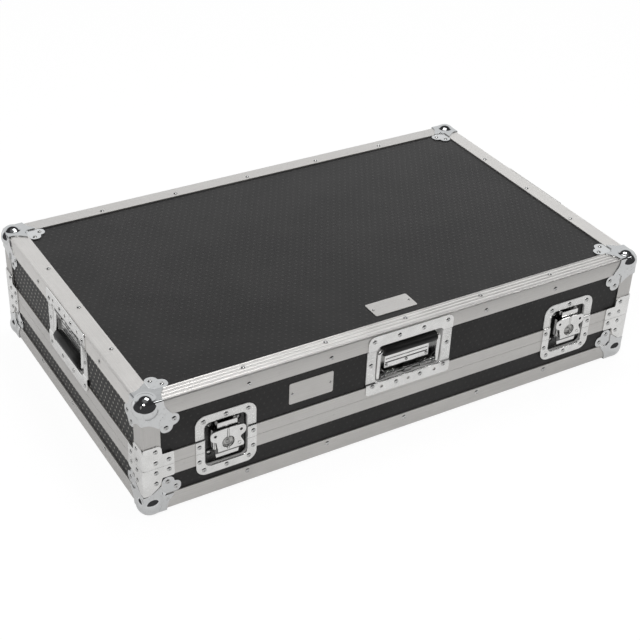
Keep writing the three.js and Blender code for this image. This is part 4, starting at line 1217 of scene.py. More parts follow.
@dataclass(frozen=True)
class CornerBrace:
    """The folded braces beside the seam and the upright angles behind them."""

    face: float = -1.7
    thickness: float = 1.5
    width: float = 30.0
    arm_reach: float = 51.0
    lid_rise: float = 41.2
    base_drop: float = 49.6
    base_shoulder: float = 22.0
    arm_rise: float = 24.0
    round: float = 8.0
    fold: float = 2.6
    post_face: float = -0.25
    gap: float = 0.2
    lid_rivets: tuple[tuple[float, float], ...] = ((20.3, 119.0), (20.3, 97.8), (42.1, 98.2))
    base_rivets: tuple[tuple[float, float], ...] = ((20.3, 78.4), (20.2, 58.0), (42.0, 79.0))

    def outline(self, for_lid: bool) -> list[Vector]:
        """Gives the outline of the brace on one face, its fold at the left."""
        seam = CASE.seam
        if for_lid:
            low, high = seam + CASE.seam_gap, seam + self.lid_rise
            arm = seam + self.arm_rise
            return rounded([
                Bend(self.face, low), Bend(self.arm_reach, low, 1.0),
                Bend(self.arm_reach, arm, 2.5), Bend(self.width + 1.2, arm, 1.6),
                Bend(self.width, high, self.round), Bend(self.face, high),
            ])
        low, shoulder = seam - self.base_drop, seam - self.base_shoulder
        return rounded([
            Bend(self.face, seam), Bend(self.face, low), Bend(10.0, low, 7.0),
            Bend(26.0, low + 13.0, 10.0), Bend(self.width + 0.6, shoulder, 1.8),
            Bend(self.arm_reach, shoulder, 2.5), Bend(self.arm_reach, seam, 1.0),
        ])

    def sheet(self, for_lid: bool) -> Form:
        """Builds the folded sheet of one brace."""
        form = Form()
        form.fill(form.loop(self.outline(for_lid), self.face))
        form.turned_copies([SWAP_XY])
        bmesh.ops.remove_doubles(form.mesh, verts=form.mesh.verts, dist=NEAR)
        form.face((-1, -1, 0))
        fold = [edge for edge in form.mesh.edges if all(
            abs(v.co.x - self.face) + abs(v.co.y - self.face) < NEAR for v in edge.verts)]
        bmesh.ops.bevel(form.mesh, geom=fold, offset=self.fold, offset_type="OFFSET", segments=5,
                        profile=0.5, affect="EDGES", material=-1)
        return form.shell(self.thickness)

    def post(self, low: float, high: float) -> Form:
        """Builds the upright angle behind the brace."""
        out, leg, wall = self.post_face, CASE.leg, CASE.wall
        section = rounded([
            Bend(out, out, CASE.nose), Bend(leg, out, 0.5), Bend(leg, wall, 0.5), Bend(wall, wall),
            Bend(wall, leg, 0.5), Bend(out, leg, 0.5),
        ])
        return Form().prism((Vector((p.x, p.z, low)) for p in section), (0, 0, high - low))

    def build(self, shop: Workshop, finishes: Finishes, rivets: Mapping[bool, RivetSet]) -> None:
        """Makes the eight braces and their rivets."""
        for corner in CASE_CORNERS:
            frame = corner.frame(False)
            for top in (False, True):
                which = "lid" if top else "base"
                form = Form().take(self.sheet(top))
                low, high = ((CASE.seam + CASE.rim, CASE.height - CASE.leg) if top
                             else (CASE.leg, CASE.seam - CASE.rim))
                form.take(self.post(low + self.gap, high - self.gap), 1)
                shop.piece(f"{which}_brace_{corner.name}", form, frame, which, "steel",
                           [finishes.steel, finishes.extruded[Run.UPRIGHT]],
                           [f"{which}_corner_brace_{corner.name}"], Edging(0.3, 2, 60.0))
                spots = self.lid_rivets if top else self.base_rivets
                for turn in (Matrix.Identity(4), SWAP_XY):
                    rivets[top].add(frame @ turn, [Rivet(a, z, self.face) for a, z in spots])


# Latches


@dataclass(frozen=True)
class Pressing:
    """How the sheet of a recessed dish is pressed."""

    flange: float = -1.5
    wall: float = 1.3
    roll: float = 1.6
    foot: float = 2.6
    step: float = 2.0
    run: float = 2.4
    steps: int = 4

    def skin(self, outer: Sequence[Vector], opening: Callable[[float], Sequence[Vector]],
             floor: float, holes: Iterable[Sequence[Vector]] = ()) -> Form:
        """Draws a dish's flange, rolled edge, wall and floor as one skin.

        Args:
            outer: The flange's outline.
            opening: Gives the recess's outline, so far outside its wall.
            floor: How deep the floor lies.
            holes: The outlines of the flange's holes.

        Returns:
            The skin.
        """
        form = Form()
        rim = form.loop(outer, self.flange)
        turns = [math.pi / 2 * index / self.steps for index in range(self.steps + 1)]
        rings = [(self.roll * (1 - math.sin(turn)), self.flange + self.roll * (1 - math.cos(turn)))
                 for turn in turns]
        rings += [(-self.foot * (1 - math.cos(turn)), floor - self.foot * (1 - math.sin(turn)))
                  for turn in turns]
        loops = [form.loop(opening(out), deep) for out, deep in rings]
        form.fill(rim, loops[0], *[form.loop(hole, self.flange) for hole in holes])
        for first, second in zip(loops, loops[1:]):
            form.bridge(first, second)
        form.fill(loops[-1])
        return form


PRESSING = Pressing()


@dataclass(frozen=True)
class Bar:
    """A small bar with rounded upright corners, or one of a pair at the left and the right."""

    near: float
    far: float
    front: float
    back: float
    low: float
    high: float
    radius: float = 0.6

    def form(self, hand: int = 1) -> Form:
        """Makes the bar, or its fellow on the other hand."""
        x0, x1 = sorted((hand * self.near, hand * self.far))
        outline = slab(x0, x1, self.low, self.high, self.radius, self.radius, 3)
        return Form().plate(outline, self.front, self.back).close()


@dataclass(frozen=True)
class ButterflyLatch:
    """A recessed butterfly latch: two dish halves, hook plate, rotor and wings."""

    from_end: float = 140.0
    height: float = 99.3
    half_width: float = 52.5
    half_tall: float = 56.0
    open_half: float = 36.5
    open_tall: float = 40.8
    open_radius: float = 10.0
    corner: float = 18.0
    floor: float = 9.3
    step_rise: float = 13.5
    step_until: float = 1.2
    rivets: tuple[tuple[float, float, float], ...] = (
        (38.5, 46.3, 0.5), (-38.5, 46.3, 0.5), (0.0, 49.0, 0.5), (46.6, 1.0, -1.5),
        (-46.6, 1.0, -1.5), (46.6, -28.2, -1.5), (-46.6, -28.2, -1.5), (39.0, -45.8, -1.5),
        (-39.0, -45.8, -1.5), (0.0, -48.3, -1.5),
    )
    floor_rivets: tuple[tuple[float, float], ...] = (
        (-24.0, 29.8), (24.0, 29.8), (-26.0, -21.5), (26.0, -21.5))
    floor_rivet: float = 3.4
    washer: Profile = (
        (9.4, 4.2), (8.4, 4.5), (8.0, 5.3), (8.4, 6.1), (9.4, 6.4), (9.4, 4.2))
    lid_pairs: tuple[Bar, ...] = (
        Bar(22.1, 23.7, -2.0, 9.4, -10.0, 22.0), Bar(14.3, 17.0, -3.0, 9.4, 31.0, 37.3))
    bridge: Bar = Bar(-17.3, 17.3, -3.6, -2.2, 28.0, 37.6, 1.2)
    boss: Profile = ((9.4, 6.3), (9.4, 9.0), (6.4, 9.0), (6.0, 8.6), (6.0, 6.3), (9.4, 6.3))
    strike: Bar = Bar(-20.5, 20.5, 4.0, 5.3, -17.7, -13.2, 1.0)
    strike_leg: Bar = Bar(18.5, 20.2, 4.6, 9.4, -17.4, -13.5, 0.5)
    plate: tuple[Bend, ...] = (
        Bend(-19.0, -28.0), Bend(19.0, -28.0), Bend(21.6, -16.0, 6.0), Bend(21.6, 22.0, 4.5),
        Bend(-21.6, 22.0, 4.5), Bend(-21.6, -16.0, 6.0))
    plate_faces: tuple[float, float] = (-2.9, -1.1)
    window: tuple[float, ...] = (-16.2, 16.2, -16.2, 8.2, 3.0, 3.0)
    lip: Bar = Bar(-15.0, 15.0, -2.2, 3.4, -27.8, -26.2)
    hub: Profile = (
        (-3.8, 0.0), (-3.8, 9.2), (-6.4, 9.2), (-6.7, 8.9), (-6.7, 8.5), (-6.4, 8.2),
        (-4.6, 7.9), (-4.4, 7.6), (-4.5, 4.6), (-5.0, 3.4), (-5.6, 2.4), (-5.8, 0.0))
    eccentric: Profile = (
        (-3.0, 0.0), (-3.0, 10.6), (-2.6, 11.0), (3.2, 11.0), (3.6, 10.6), (3.6, 0.0))
    throw: float = 4.0
    shaft: Profile = ((-4.0, 0.0), (-4.0, 6.0), (10.4, 6.0), (10.6, 5.6), (10.6, 0.0))
    spine: tuple[Bar, ...] = (
        Bar(-0.8, 0.8, -7.2, -3.8, 9.2, 26.0, 0.3), Bar(-0.8, 0.8, -7.2, -3.8, -15.6, -9.2, 0.3),
        Bar(-4.4, 4.4, -6.9, -3.8, 24.5, 26.0, 0.3), Bar(-4.4, 4.4, -6.9, -3.8, -15.6, -14.1, 0.3))
    pin_place: tuple[float, float] = (3.2, -5.4)
    pin: float = 0.9
    pin_runs: tuple[tuple[float, float], ...] = ((9.2, 25.0), (-15.0, -9.2))
    knuckle: tuple[float, float] = (1.25, 2.0)
    knuckle_ends: tuple[float, float] = (-13.7, 24.1)
    hub_room: float = 10.8
    wing_edge: float = 1.9
    wing_faces: tuple[float, float] = (-7.4, -5.6)
    ear: tuple[float, float] = (22.3, 17.0)
    ear_hole: float = 2.6
    stud: tuple[float, float] = (19.5, -8.5)
    stud_ring: Profile = (
        (-7.2, 2.2), (-8.0, 2.5), (-8.1, 2.9), (-8.0, 3.3), (-7.2, 3.6), (-7.2, 2.2))

    def opening(self, out: float) -> list[Vector]:
        """Gives the recess's outline, so far outside its wall."""
        half, tall, radius = self.open_half + out, self.open_tall + out, self.open_radius + out
        return slab(-half, half, -tall, tall, radius, radius, 8)

    def dish(self, upper: bool) -> Form:
        """Presses one half of the dish, cut off at the case's seam."""
        outer = slab(-self.half_width, self.half_width, -self.half_tall, self.half_tall,
                     self.corner, self.corner, 10)
        skin = PRESSING.skin(outer, self.opening, self.floor)
        skin.step(self.step_rise, PRESSING.run, PRESSING.step, self.step_until)
        seam = CASE.seam - self.height + (CASE.seam_gap if upper else 0.0)
        skin.face((0, -1, 0)).cut((0, 0, seam), (0, 0, -1 if upper else 1), away=True)
        return Form().take(skin.shell(PRESSING.wall))

    def washers(self, form: Form, upper: bool) -> Form:
        """Adds the raised rings round the rivets in one half's floor."""
        rings = Form()
        for x, z in self.floor_rivets:
            if (z > 0) is upper:
                rings.turned(self.washer, "Y", (x, 0, z))
        return form.take(rings)

    def lid_dish(self) -> Form:
        """Builds the lid's half with its bridge, slide cheeks and bearing."""
        form = self.dish(True)
        for hand in (-1, 1):
            for bar in self.lid_pairs:
                form.take(bar.form(hand))
        form.take(self.bridge.form())
        return self.washers(form.turned(self.boss, "Y", (0, 0, 0), 28), True)

    def base_dish(self) -> Form:
        """Builds the base's half with the strike that the hook pulls under."""
        form = self.dish(False).take(self.strike.form())
        for hand in (-1, 1):
            form.take(self.strike_leg.form(hand))
        return self.washers(form, False)

    def hook(self) -> Form:
        """Builds the hook plate with its window and its turned lip."""
        window = slab(*self.window)
        form = Form().plate(rounded(self.plate), *self.plate_faces, [window]).close()
        return form.take(self.lip.form())

    def rotor(self) -> Form:
        """Builds the rotor: hub, eccentric, spine with its lugs, and the wings' pins."""
        form = Form().turned(self.hub, "Y", (0, 0, 0), 36, 1)
        form.turned(self.eccentric, "Y", (0, 0, -self.throw), 32)
        form.turned(self.shaft, "Y", (0, 0, 0), 24)
        for bar in self.spine:
            form.take(bar.form())
        x, y = self.pin_place
        for hand in (-1, 1):
            for low, high in self.pin_runs:
                pin = [(low, 0.0), (low, self.pin), (high, self.pin), (high, 0.0)]
                form.turned(pin, "Z", (hand * x, y, 0), 12)
        return form

    def wing(self, hand: int, foot: float) -> Form:
        """Builds one wing with its rolled knuckles.

        Args:
            hand: -1 for the left wing, 1 for the right.
            foot: How far the wing's foot reaches from the middle.

        Returns:
            The wing's form.
        """
        clear, edge = self.hub_room, self.wing_edge
        rise = math.degrees(math.acos(edge / clear))
        cut = arc((0.0, 0.0), clear, -rise, rise, 16)
        outer = rounded([
            Bend(edge, 27.0), Bend(14.0, 26.6, 12.0), Bend(31.2, 25.4, 8.4), Bend(30.4, 9.6, 8.0),
            Bend(20.2, 4.4, 3.5), Bend(foot, -9.0, 2.4), Bend(foot, -15.0, 2.0),
            Bend(edge, -15.0, 0.4),
        ], 8)
        ends = sorted((p for p in outer if abs(p.x - edge) < 0.6), key=lambda p: p.z)
        low, high = outer.index(ends[0]), outer.index(ends[-1])
        run = outer[high:] + outer[:high]
        if (run[1] - run[0]).length < NEAR or run.index(outer[low]) < len(run) / 2:
            run = [run[0]] + run[:0:-1]
        ear = arc(self.ear, self.ear_hole, 0.0, 337.5, 15)
        form = Form().plate(run + cut, *self.wing_faces, [ear]).close()
        inner, thick = self.knuckle
        x, y = self.pin_place
        foot_end, top_end = self.knuckle_ends
        for low_end, high_end in ((clear + 0.1, top_end), (foot_end, -clear - 0.1)):
            tube = [(low_end, inner), (low_end, thick), (high_end, thick), (high_end, inner),
                    (low_end, inner)]
            form.turned(tube, "Z", (x, y, 0), 16)
        if hand > 0:
            x, z = self.stud
            return form.turned(self.stud_ring, "Y", (x, 0, z))
        form.moved(Matrix.Diagonal((-1, 1, 1, 1)))
        bmesh.ops.reverse_faces(form.mesh, faces=form.mesh.faces)
        return form

    def build(self, shop: Workshop, finishes: Finishes, rivets: Mapping[bool, RivetSet]) -> None:
        """Makes both latches and their rivets."""
        across = CASE.length / 2 - self.from_end
        seam = CASE.seam - self.height
        for name, x in (("left", -across), ("right", across)):
            frame = Side.FRONT.frame() @ Matrix.Translation((x, 0, self.height))
            node = f"latch_{name}"
            shop.piece(f"{node}_upper_dish", self.lid_dish(), frame, "lid", "steel",
                       [finishes.latch_dish], [f"{node}_lid_dish"], FOLDED)
            shop.piece(f"{node}_lower_dish", self.base_dish(), frame, "base", "steel",
                       [finishes.latch_dish], [f"{node}_base_dish"], FOLDED)
            shop.piece(f"{node}_hook", self.hook(), frame, f"{node}_hook", "steel",
                       [finishes.hook], [f"{node}_hook_plate"], Edging(0.25))
            shop.piece(f"{node}_hub", self.rotor(), frame, f"{node}_rotor", "steel",
                       [finishes.steel, finishes.cast], [f"{node}_rotor"], Edging(0.2))
            for side, hand, foot in (("left", -1, 18.0), ("right", 1, 27.0)):
                shop.piece(f"{node}_wing_plate_{side}", self.wing(hand, foot), frame,
                           f"{node}_wing_{side[0]}", "steel", [finishes.steel],
                           [f"{node}_wing_{side}"])
            for a, z, depth in self.rivets:
                rivets[z > seam].add(frame, [Rivet(a, z, depth)])
            for a, z in self.floor_rivets:
                rivets[z > seam].add(frame, [Rivet(a, z, self.floor, self.floor_rivet)])


# Handles


class Strip(Enum):
    """Which way up a handle's dish is mounted."""

    BELOW = 0.0
    ABOVE = 180.0


@dataclass(frozen=True)
class BailHandle:
    """A recessed handle: dish with saddles, wire bail with two springs, and rubber grip."""

    name: str
    side: Side
    strip: Strip
    strip_step: float
    height: float = 150.7
    half_width: float = 82.0
    strip_edge: float = 58.1
    grip_edge: float = 56.0
    corner: float = 12.0
    open_half: float = 64.0
    open_strip: float = 36.0
    open_grip: float = 34.0
    open_radius: float = 9.0
    depth: float = 16.0
    grip_step: float = 26.8
    strip_until: float = 1.2
    grip_until: float = 3.2
    pivot_depth: float = 5.0
    pivot_drop: float = 28.0
    grip_rise: float = 20.0
    grip_depth: float = 3.3
    leg_across: float = 58.0
    leg_end: float = 3.6
    rod: float = 4.0
    bend: float = 5.0
    pin: float = 3.0
    grip_radius: float = 9.3
    grip_half: float = 51.5
    coil: float = 5.0
    spring_wire: float = 0.7
    spring_inner: float = 22.5
    spring_outer: float = 45.5
    curls: int = 8
    wave: float = 1.4
    wave_places: tuple[tuple[float, bool], ...] = (
        (43.0, False), (38.5, True), (11.5, True), (7.0, False))
    saddles: tuple[tuple[float, float], ...] = ((-50.8, 2.5), (0.0, 7.0), (50.8, 2.5))
    saddle_radii: tuple[float, float] = (4.8, 3.3)
    tab_hole: float = 3.1
    tab_holes: tuple[tuple[float, float], ...] = ((-52.0, -46.0), (0.0, -46.5), (52.0, -46.0))
    shelf_half: float = 43.0
    shelf_depth: float = 8.0
    shelf_low: float = -19.1
    shelf_high: float = 6.0
    shelf_slots: tuple[tuple[float, float], ...] = ((-10.3, -8.0), (-3.0, -1.4))
    shelf_rivets: tuple[float, ...] = (-39.0, 0.0, 39.0)
    shelf_rivet_height: float = -13.6
    shelf_rivet: float = 2.8
    spring_leg: float = 12.0
    spring_tail: float = 9.0
    rivets: tuple[tuple[float, float], ...] = (
        (71.0, 46.15), (-71.0, 46.15), (23.5, 46.15), (-23.5, 46.15), (74.0, 0.0), (-74.0, 0.0),
        (70.0, -41.3), (-70.0, -41.3), (23.5, -46.0), (-23.5, -46.0),
    )

    def dish(self) -> Form:
        """Draws the dish, its flange let down over the board between the two metal edges."""
        outer = slab(-self.half_width, self.half_width, -self.strip_edge, self.grip_edge,
                     self.corner / 2, self.corner, 10)
        holes = [arc((x, z), self.tab_hole, 0.0, 345.0, 23) for x, z in self.tab_holes]
        skin = PRESSING.skin(outer, self.opening, self.depth, holes)
        skin.step(-self.strip_step, PRESSING.run, PRESSING.step, self.strip_until)
        skin.step(self.grip_step + PRESSING.run, PRESSING.run, -PRESSING.step, self.grip_until)
        made = Form().take(skin.face((0, -1, 0)).shell(PRESSING.wall))
        for place, half in self.saddles:
            made.take(self.saddle(place, half), 2)
        return made.take(self.shelf(), 1)

    def opening(self, out: float) -> list[Vector]:
        """Gives the dish's opening, its edge waved between the saddles.

        Args:
            out: How far outside the opening's wall the outline lies.

        Returns:
            The outline's points.
        """
        half, low, high = self.open_half + out, -self.open_strip - out, self.open_grip + out
        radius = self.open_radius + out
        waves = [Bend(hand * x, low + (self.wave if raised else 0.0), 2.0)
                 for hand, places in ((-1, self.wave_places), (1, self.wave_places[::-1]))
                 for x, raised in places]
        return rounded([Bend(-half, low, radius)] + waves + [
            Bend(half, low, radius), Bend(half, high, radius), Bend(-half, high, radius)], 5)

    def shelf(self) -> Form:
        """Makes the bright slotted strip over the springs, with the folds that hold it."""
        half, front, low, high = self.shelf_half, self.shelf_depth, self.shelf_low, self.shelf_high
        inner, deep = front + PRESSING.wall, self.depth + 0.1
        slots = [slab(1.8 - half, half - 1.8, bottom, top, 0.4, 0.4, 2)
                 for bottom, top in self.shelf_slots]
        outline = slab(-half, half, low, high, 1.0, 1.0, 3)
        form = Form().plate(outline, front, inner, slots).close()
        for x0, x1, z0, z1 in ((-half + 0.1, 1.4 - half, low + 0.2, high - 0.2),
                               (half - 1.4, half - 0.1, low + 0.2, high - 0.2),
                               (1.5 - half, half - 1.5, low + 0.2, low + 1.4),
                               (1.5 - half, half - 1.5, high - 1.4, high - 0.2)):
            form.take(Form().plate(slab(x0, x1, z0, z1, 0.2, 0.2, 1), inner - 0.2, deep).close())
        return form

    def saddle(self, place: float, half: float) -> Form:
        """Makes one saddle that holds the pivot: a curled tab with its root in the strip.

        Args:
            place: The middle of the saddle across the handle.
            half: Half its width.

        Returns:
            The saddle's form.
        """
        outside, inside = self.saddle_radii
        left, span = place - half, (2 * half, 0, 0)
        curl = [*arc((0.0, 0.0), outside, 100.0, 390.0, 18),
                *arc((0.0, 0.0), inside, 390.0, 100.0, 18)]
        form = Form().prism((Vector((left, self.pivot_depth + p.x, p.z - self.pivot_drop))
                             for p in curl), span)
        front, back = self.pivot_depth - 2.4, self.pivot_depth + 3.0
        low, high = -self.open_strip - 0.1, -self.pivot_drop - inside
        root = [(front, low), (back, low), (back, high), (front, high)]
        return form.take(Form().prism((Vector((left, y, z)) for y, z in root), span))

    def bail_path(self) -> list[Vector]:
        """Gives the bail's path from one leg's end over the grip to the other."""
        pivot = Vector((self.leg_across, self.pivot_depth, -self.pivot_drop))
        grip = Vector((self.leg_across, self.grip_depth, self.grip_rise))
        up = (grip - pivot).normalized()
        turn = arc((self.leg_across - self.bend, 0.0), self.bend, 0.0, 90.0, 8)
        right = [pivot - up * self.leg_end, pivot, pivot + up * (grip - pivot).length * 0.5]
        right += [Vector((point.x, grip.y, grip.z)) + up * (point.z - self.bend) for point in turn]
        left = [Vector((-p.x, p.y, p.z)) for p in reversed(right)]
        return right + left

    def spring_path(self, hand: int) -> list[Vector]:
        """Gives a spring's wire from the bail's leg, round the pivot, to the dish's floor."""
        each = 18
        steps = self.curls * each
        high = self.spring_leg - self.pivot_drop
        deep = self.pivot_depth
        points = [Vector((hand * self.leg_across, deep, high)),
                  Vector((hand * (self.spring_outer + self.coil * 1.2), deep, high))]
        for index in range(steps + 1):
            turn = 2 * math.pi * index / each
            along = self.spring_outer + (self.spring_inner - self.spring_outer) * index / steps
            points.append(Vector((hand * along, deep - self.coil * math.sin(turn),
                                  -self.pivot_drop + self.coil * math.cos(turn))))
        tail = Vector((0, self.spring_tail * 0.5, 0))
        return points + [points[-1] + tail, points[-1] + tail * 2]

    def bail(self) -> Form:
        """Builds the bail, its pivot and its springs."""
        form = Form().wire(self.bail_path(), self.rod, 16).close()
        rod = [(-self.leg_across, 0.0), (-self.leg_across, self.pin), (self.leg_across, self.pin),
               (self.leg_across, 0.0)]
        form.turned(rod, "X", (0, self.pivot_depth, -self.pivot_drop), 18, 1)
        for hand in (-1, 1):
            form.take(Form().wire(self.spring_path(hand), self.spring_wire, 8).close(), 2)
        return form

    def grip(self) -> Form:
        """Turns the rubber grip with its softly rounded ends."""
        half, radius, bore = self.grip_half, self.grip_radius, self.rod + 0.4
        end = [(half, bore), (half, radius - 2.0), (half - 0.6, radius - 0.7),
               (half - 2.2, radius), (half * 0.5, radius)]
        profile = [(-x, r) for x, r in end] + [(0.0, radius)] + end[::-1] + [(-half, bore)]
        return Form().turned(profile, "X", (0, self.grip_depth, self.grip_rise), 40)

    def build(self, shop: Workshop, finishes: Finishes, rivets: RivetSet) -> None:
        """Makes the handle's pieces and its rivets."""
        frame = (self.side.frame() @ Matrix.Translation((0, 0, self.height))
                 @ turned(self.strip.value, "Y"))
        node = f"handle_{self.name}"
        dish = finishes.front_dish if self.side is Side.FRONT else finishes.side_dish
        shop.piece(f"{node}_tray", self.dish(), frame, "lid", "steel",
                   [dish, finishes.shelf, finishes.spring],
                   [f"{node}_dish"], FOLDED)
        shop.piece(f"{node}_wire", self.bail(), frame, node, "steel",
                   [finishes.steel, finishes.spring, finishes.rivet],
                   [f"{node}_bail"], None)
        shop.piece(f"{node}_sleeve", self.grip(), frame, node, "rubber", [finishes.rubber],
                   [f"{node}_grip"], None)
        for a, z in self.rivets:
            between = -self.strip_step < z < self.grip_step
            depth = PRESSING.flange + (PRESSING.step if between else 0.0)
            rivets.add(frame, [Rivet(a, z, depth)])
        rivets.add(frame, [Rivet(a, self.shelf_rivet_height, self.shelf_depth, self.shelf_rivet)
                           for a in self.shelf_rivets])


# Hinges


@dataclass(frozen=True)
class RearHinge:
    """A steel butt hinge across the seam at the back."""

    from_end: float = 175.0
    half: float = 33.0
    leaf_height: float = 44.0
    face: float = -2.0
    back: float = -0.2
    pin_out: float = 4.2
    pin_up: float = 2.5
    pin: float = 1.6
    bore: float = 1.9
    knuckle: float = 3.2
    middle: float = 12.0
    gap: float = 0.4
    corner: float = 6.0
    rivets: tuple[tuple[float, float], ...] = (
        (-24.0, 14.0), (24.0, 14.0), (-24.0, 34.0), (24.0, 34.0))

    def barrel(self, form: Form, x0: float, x1: float, bore: float) -> Form:
        """Adds one turned knuckle to a leaf."""
        r, edge = self.knuckle, 0.3
        profile = [(x0, bore), (x0, r - edge), (x0 + edge, r), (x1 - edge, r), (x1, r - edge),
                   (x1, bore), (x0, bore)]
        return form.turned(profile, "X", (0, -self.pin_out, CASE.seam + self.pin_up), 28)

    def base_leaf(self) -> Form:
        """Builds the base's leaf with the outer knuckles and the pin."""
        seam, pin = CASE.seam, CASE.seam + self.pin_up
        low = seam - self.leaf_height
        room = self.middle + self.gap
        notch = pin - self.knuckle - self.gap
        outline = rounded([
            Bend(-self.half, low, self.corner), Bend(self.half, low, self.corner),
            Bend(self.half, pin), Bend(room, pin), Bend(room, notch, 0.6), Bend(-room, notch, 0.6),
            Bend(-room, pin), Bend(-self.half, pin),
        ])
        form = Form().plate(outline, self.face, self.back).close()
        self.barrel(form, -self.half, -room, self.pin - 0.05)
        self.barrel(form, room, self.half, self.pin - 0.05)
        end = [(self.half, self.pin), (self.half + 0.5, self.pin - 0.4), (self.half + 0.5, 0.0)]
        rod = [(-x, r) for x, r in reversed(end)] + end
        return form.turned(rod, "X", (0, -self.pin_out, pin), 18)

    def lid_leaf(self) -> Form:
        """Builds the lid's leaf with the middle knuckle."""
        seam, pin = CASE.seam, CASE.seam + self.pin_up
        low, high = seam + CASE.seam_gap, seam + self.leaf_height
        notch = pin + self.knuckle + self.gap
        outline = rounded([
            Bend(-self.middle, low), Bend(self.middle, low), Bend(self.middle, notch, 0.6),
            Bend(self.half, notch), Bend(self.half, high, self.corner),
            Bend(-self.half, high, self.corner), Bend(-self.half, notch),
            Bend(-self.middle, notch, 0.6),
        ])
        form = Form().plate(outline, self.face, self.back).close()
        return self.barrel(form, -self.middle, self.middle, self.bore)

    def build(self, shop: Workshop, finishes: Finishes, rivets: Mapping[bool, RivetSet]) -> None:
        """Makes both hinges and their rivets."""
        across = CASE.length / 2 - self.from_end
        for name, x in (("left", across), ("right", -across)):
            frame = Side.BACK.frame() @ Matrix.Translation((x, 0, 0))
            shop.piece(f"hinge_{name}_lower", self.base_leaf(), frame, "base", "steel",
                       [finishes.steel], [f"hinge_{name}_base_leaf"])
            shop.piece(f"hinge_{name}_upper", self.lid_leaf(), frame, "lid", "steel",
                       [finishes.steel], [f"hinge_{name}_lid_leaf"])
            for a, z in self.rivets:
                rivets[True].add(frame, [Rivet(a, CASE.seam + z, self.face)])
                rivets[False].add(frame, [Rivet(a, CASE.seam - z, self.face)])


# The ribbed angle


@dataclass(frozen=True)
class RibbedAngle:
    """The front top angle, whose upper leg has shallow troughs along its length."""

    node: str = "top_angle_front"
    gap: float = 0.2
    opening: tuple[float, float] = (65.5, 193.7)
    first: float = 3.9
    pitch: float = 7.55
    count: int = 4
    trough: tuple[tuple[float, float], ...] = (
        (-2.2, 0.0), (-1.1, -0.38), (0.0, -0.6), (1.1, -0.38), (2.2, 0.0))

    def section(self, front: float, top: float) -> list[tuple[float, float]]:
        """Gives the section's places in Y and Z, from the lower leg's foot round the nose."""
        places = [(front, top - CASE.leg)]
        for step in range(4):
            turn = math.radians(22.5 * step)
            places.append((front + CASE.nose * (1 - math.cos(turn)),
                           top - CASE.nose * (1 - math.sin(turn))))
        for rib in range(self.count):
            middle = front + self.first + self.pitch * rib
            flank = self.trough if rib else self.trough[1:]
            places += [(middle + across, top + deep) for across, deep in flank]
        back, inner, low = front + CASE.leg, front + CASE.wall, top - CASE.wall
        return places + [(back, top), (back, low), (inner, low), (inner, top - CASE.leg)]

    def build(self, shop: Workshop, finishes: Finishes) -> None:
        """Makes the angle, mitred at its ends and let in round the handle's dish."""
        front, end = -CASE.depth / 2, CASE.length / 2 - self.gap
        form = Form()
        ends = []
        for hand in (-1, 1):
            ends.append(form.loop(Vector((hand * (end + front - y), y, z))
                                  for y, z in self.section(front, CASE.top)))
            form.fill(ends[-1])
        form.bridge(*ends)
        half, high = self.opening
        for hand in (-1, 1):
            form.cut((hand * half, 0, 0), (1, 0, 0))
        form.cut((0, 0, high), (0, 0, 1))
        gone = [face for face in form.mesh.faces
                if abs(face.calc_center_median().x) < half and face.calc_center_median().z < high]
        bmesh.ops.delete(form.mesh, geom=gone, context="FACES")
        rim = [edge for edge in form.mesh.edges if edge.is_boundary]
        sides = [[edge for edge in rim if all(abs(vert.co.y - y) < NEAR for vert in edge.verts)]
                 for y in (front, front + CASE.wall)]
        form.bridge(*sides)
        shop.piece("ribbed_top_angle", form.close(), Matrix.Identity(4), "lid", "aluminium",
                   [finishes.extruded[Run.RIBBED]], [self.node], Edging(0.2, 1, 60.0))


# Foam


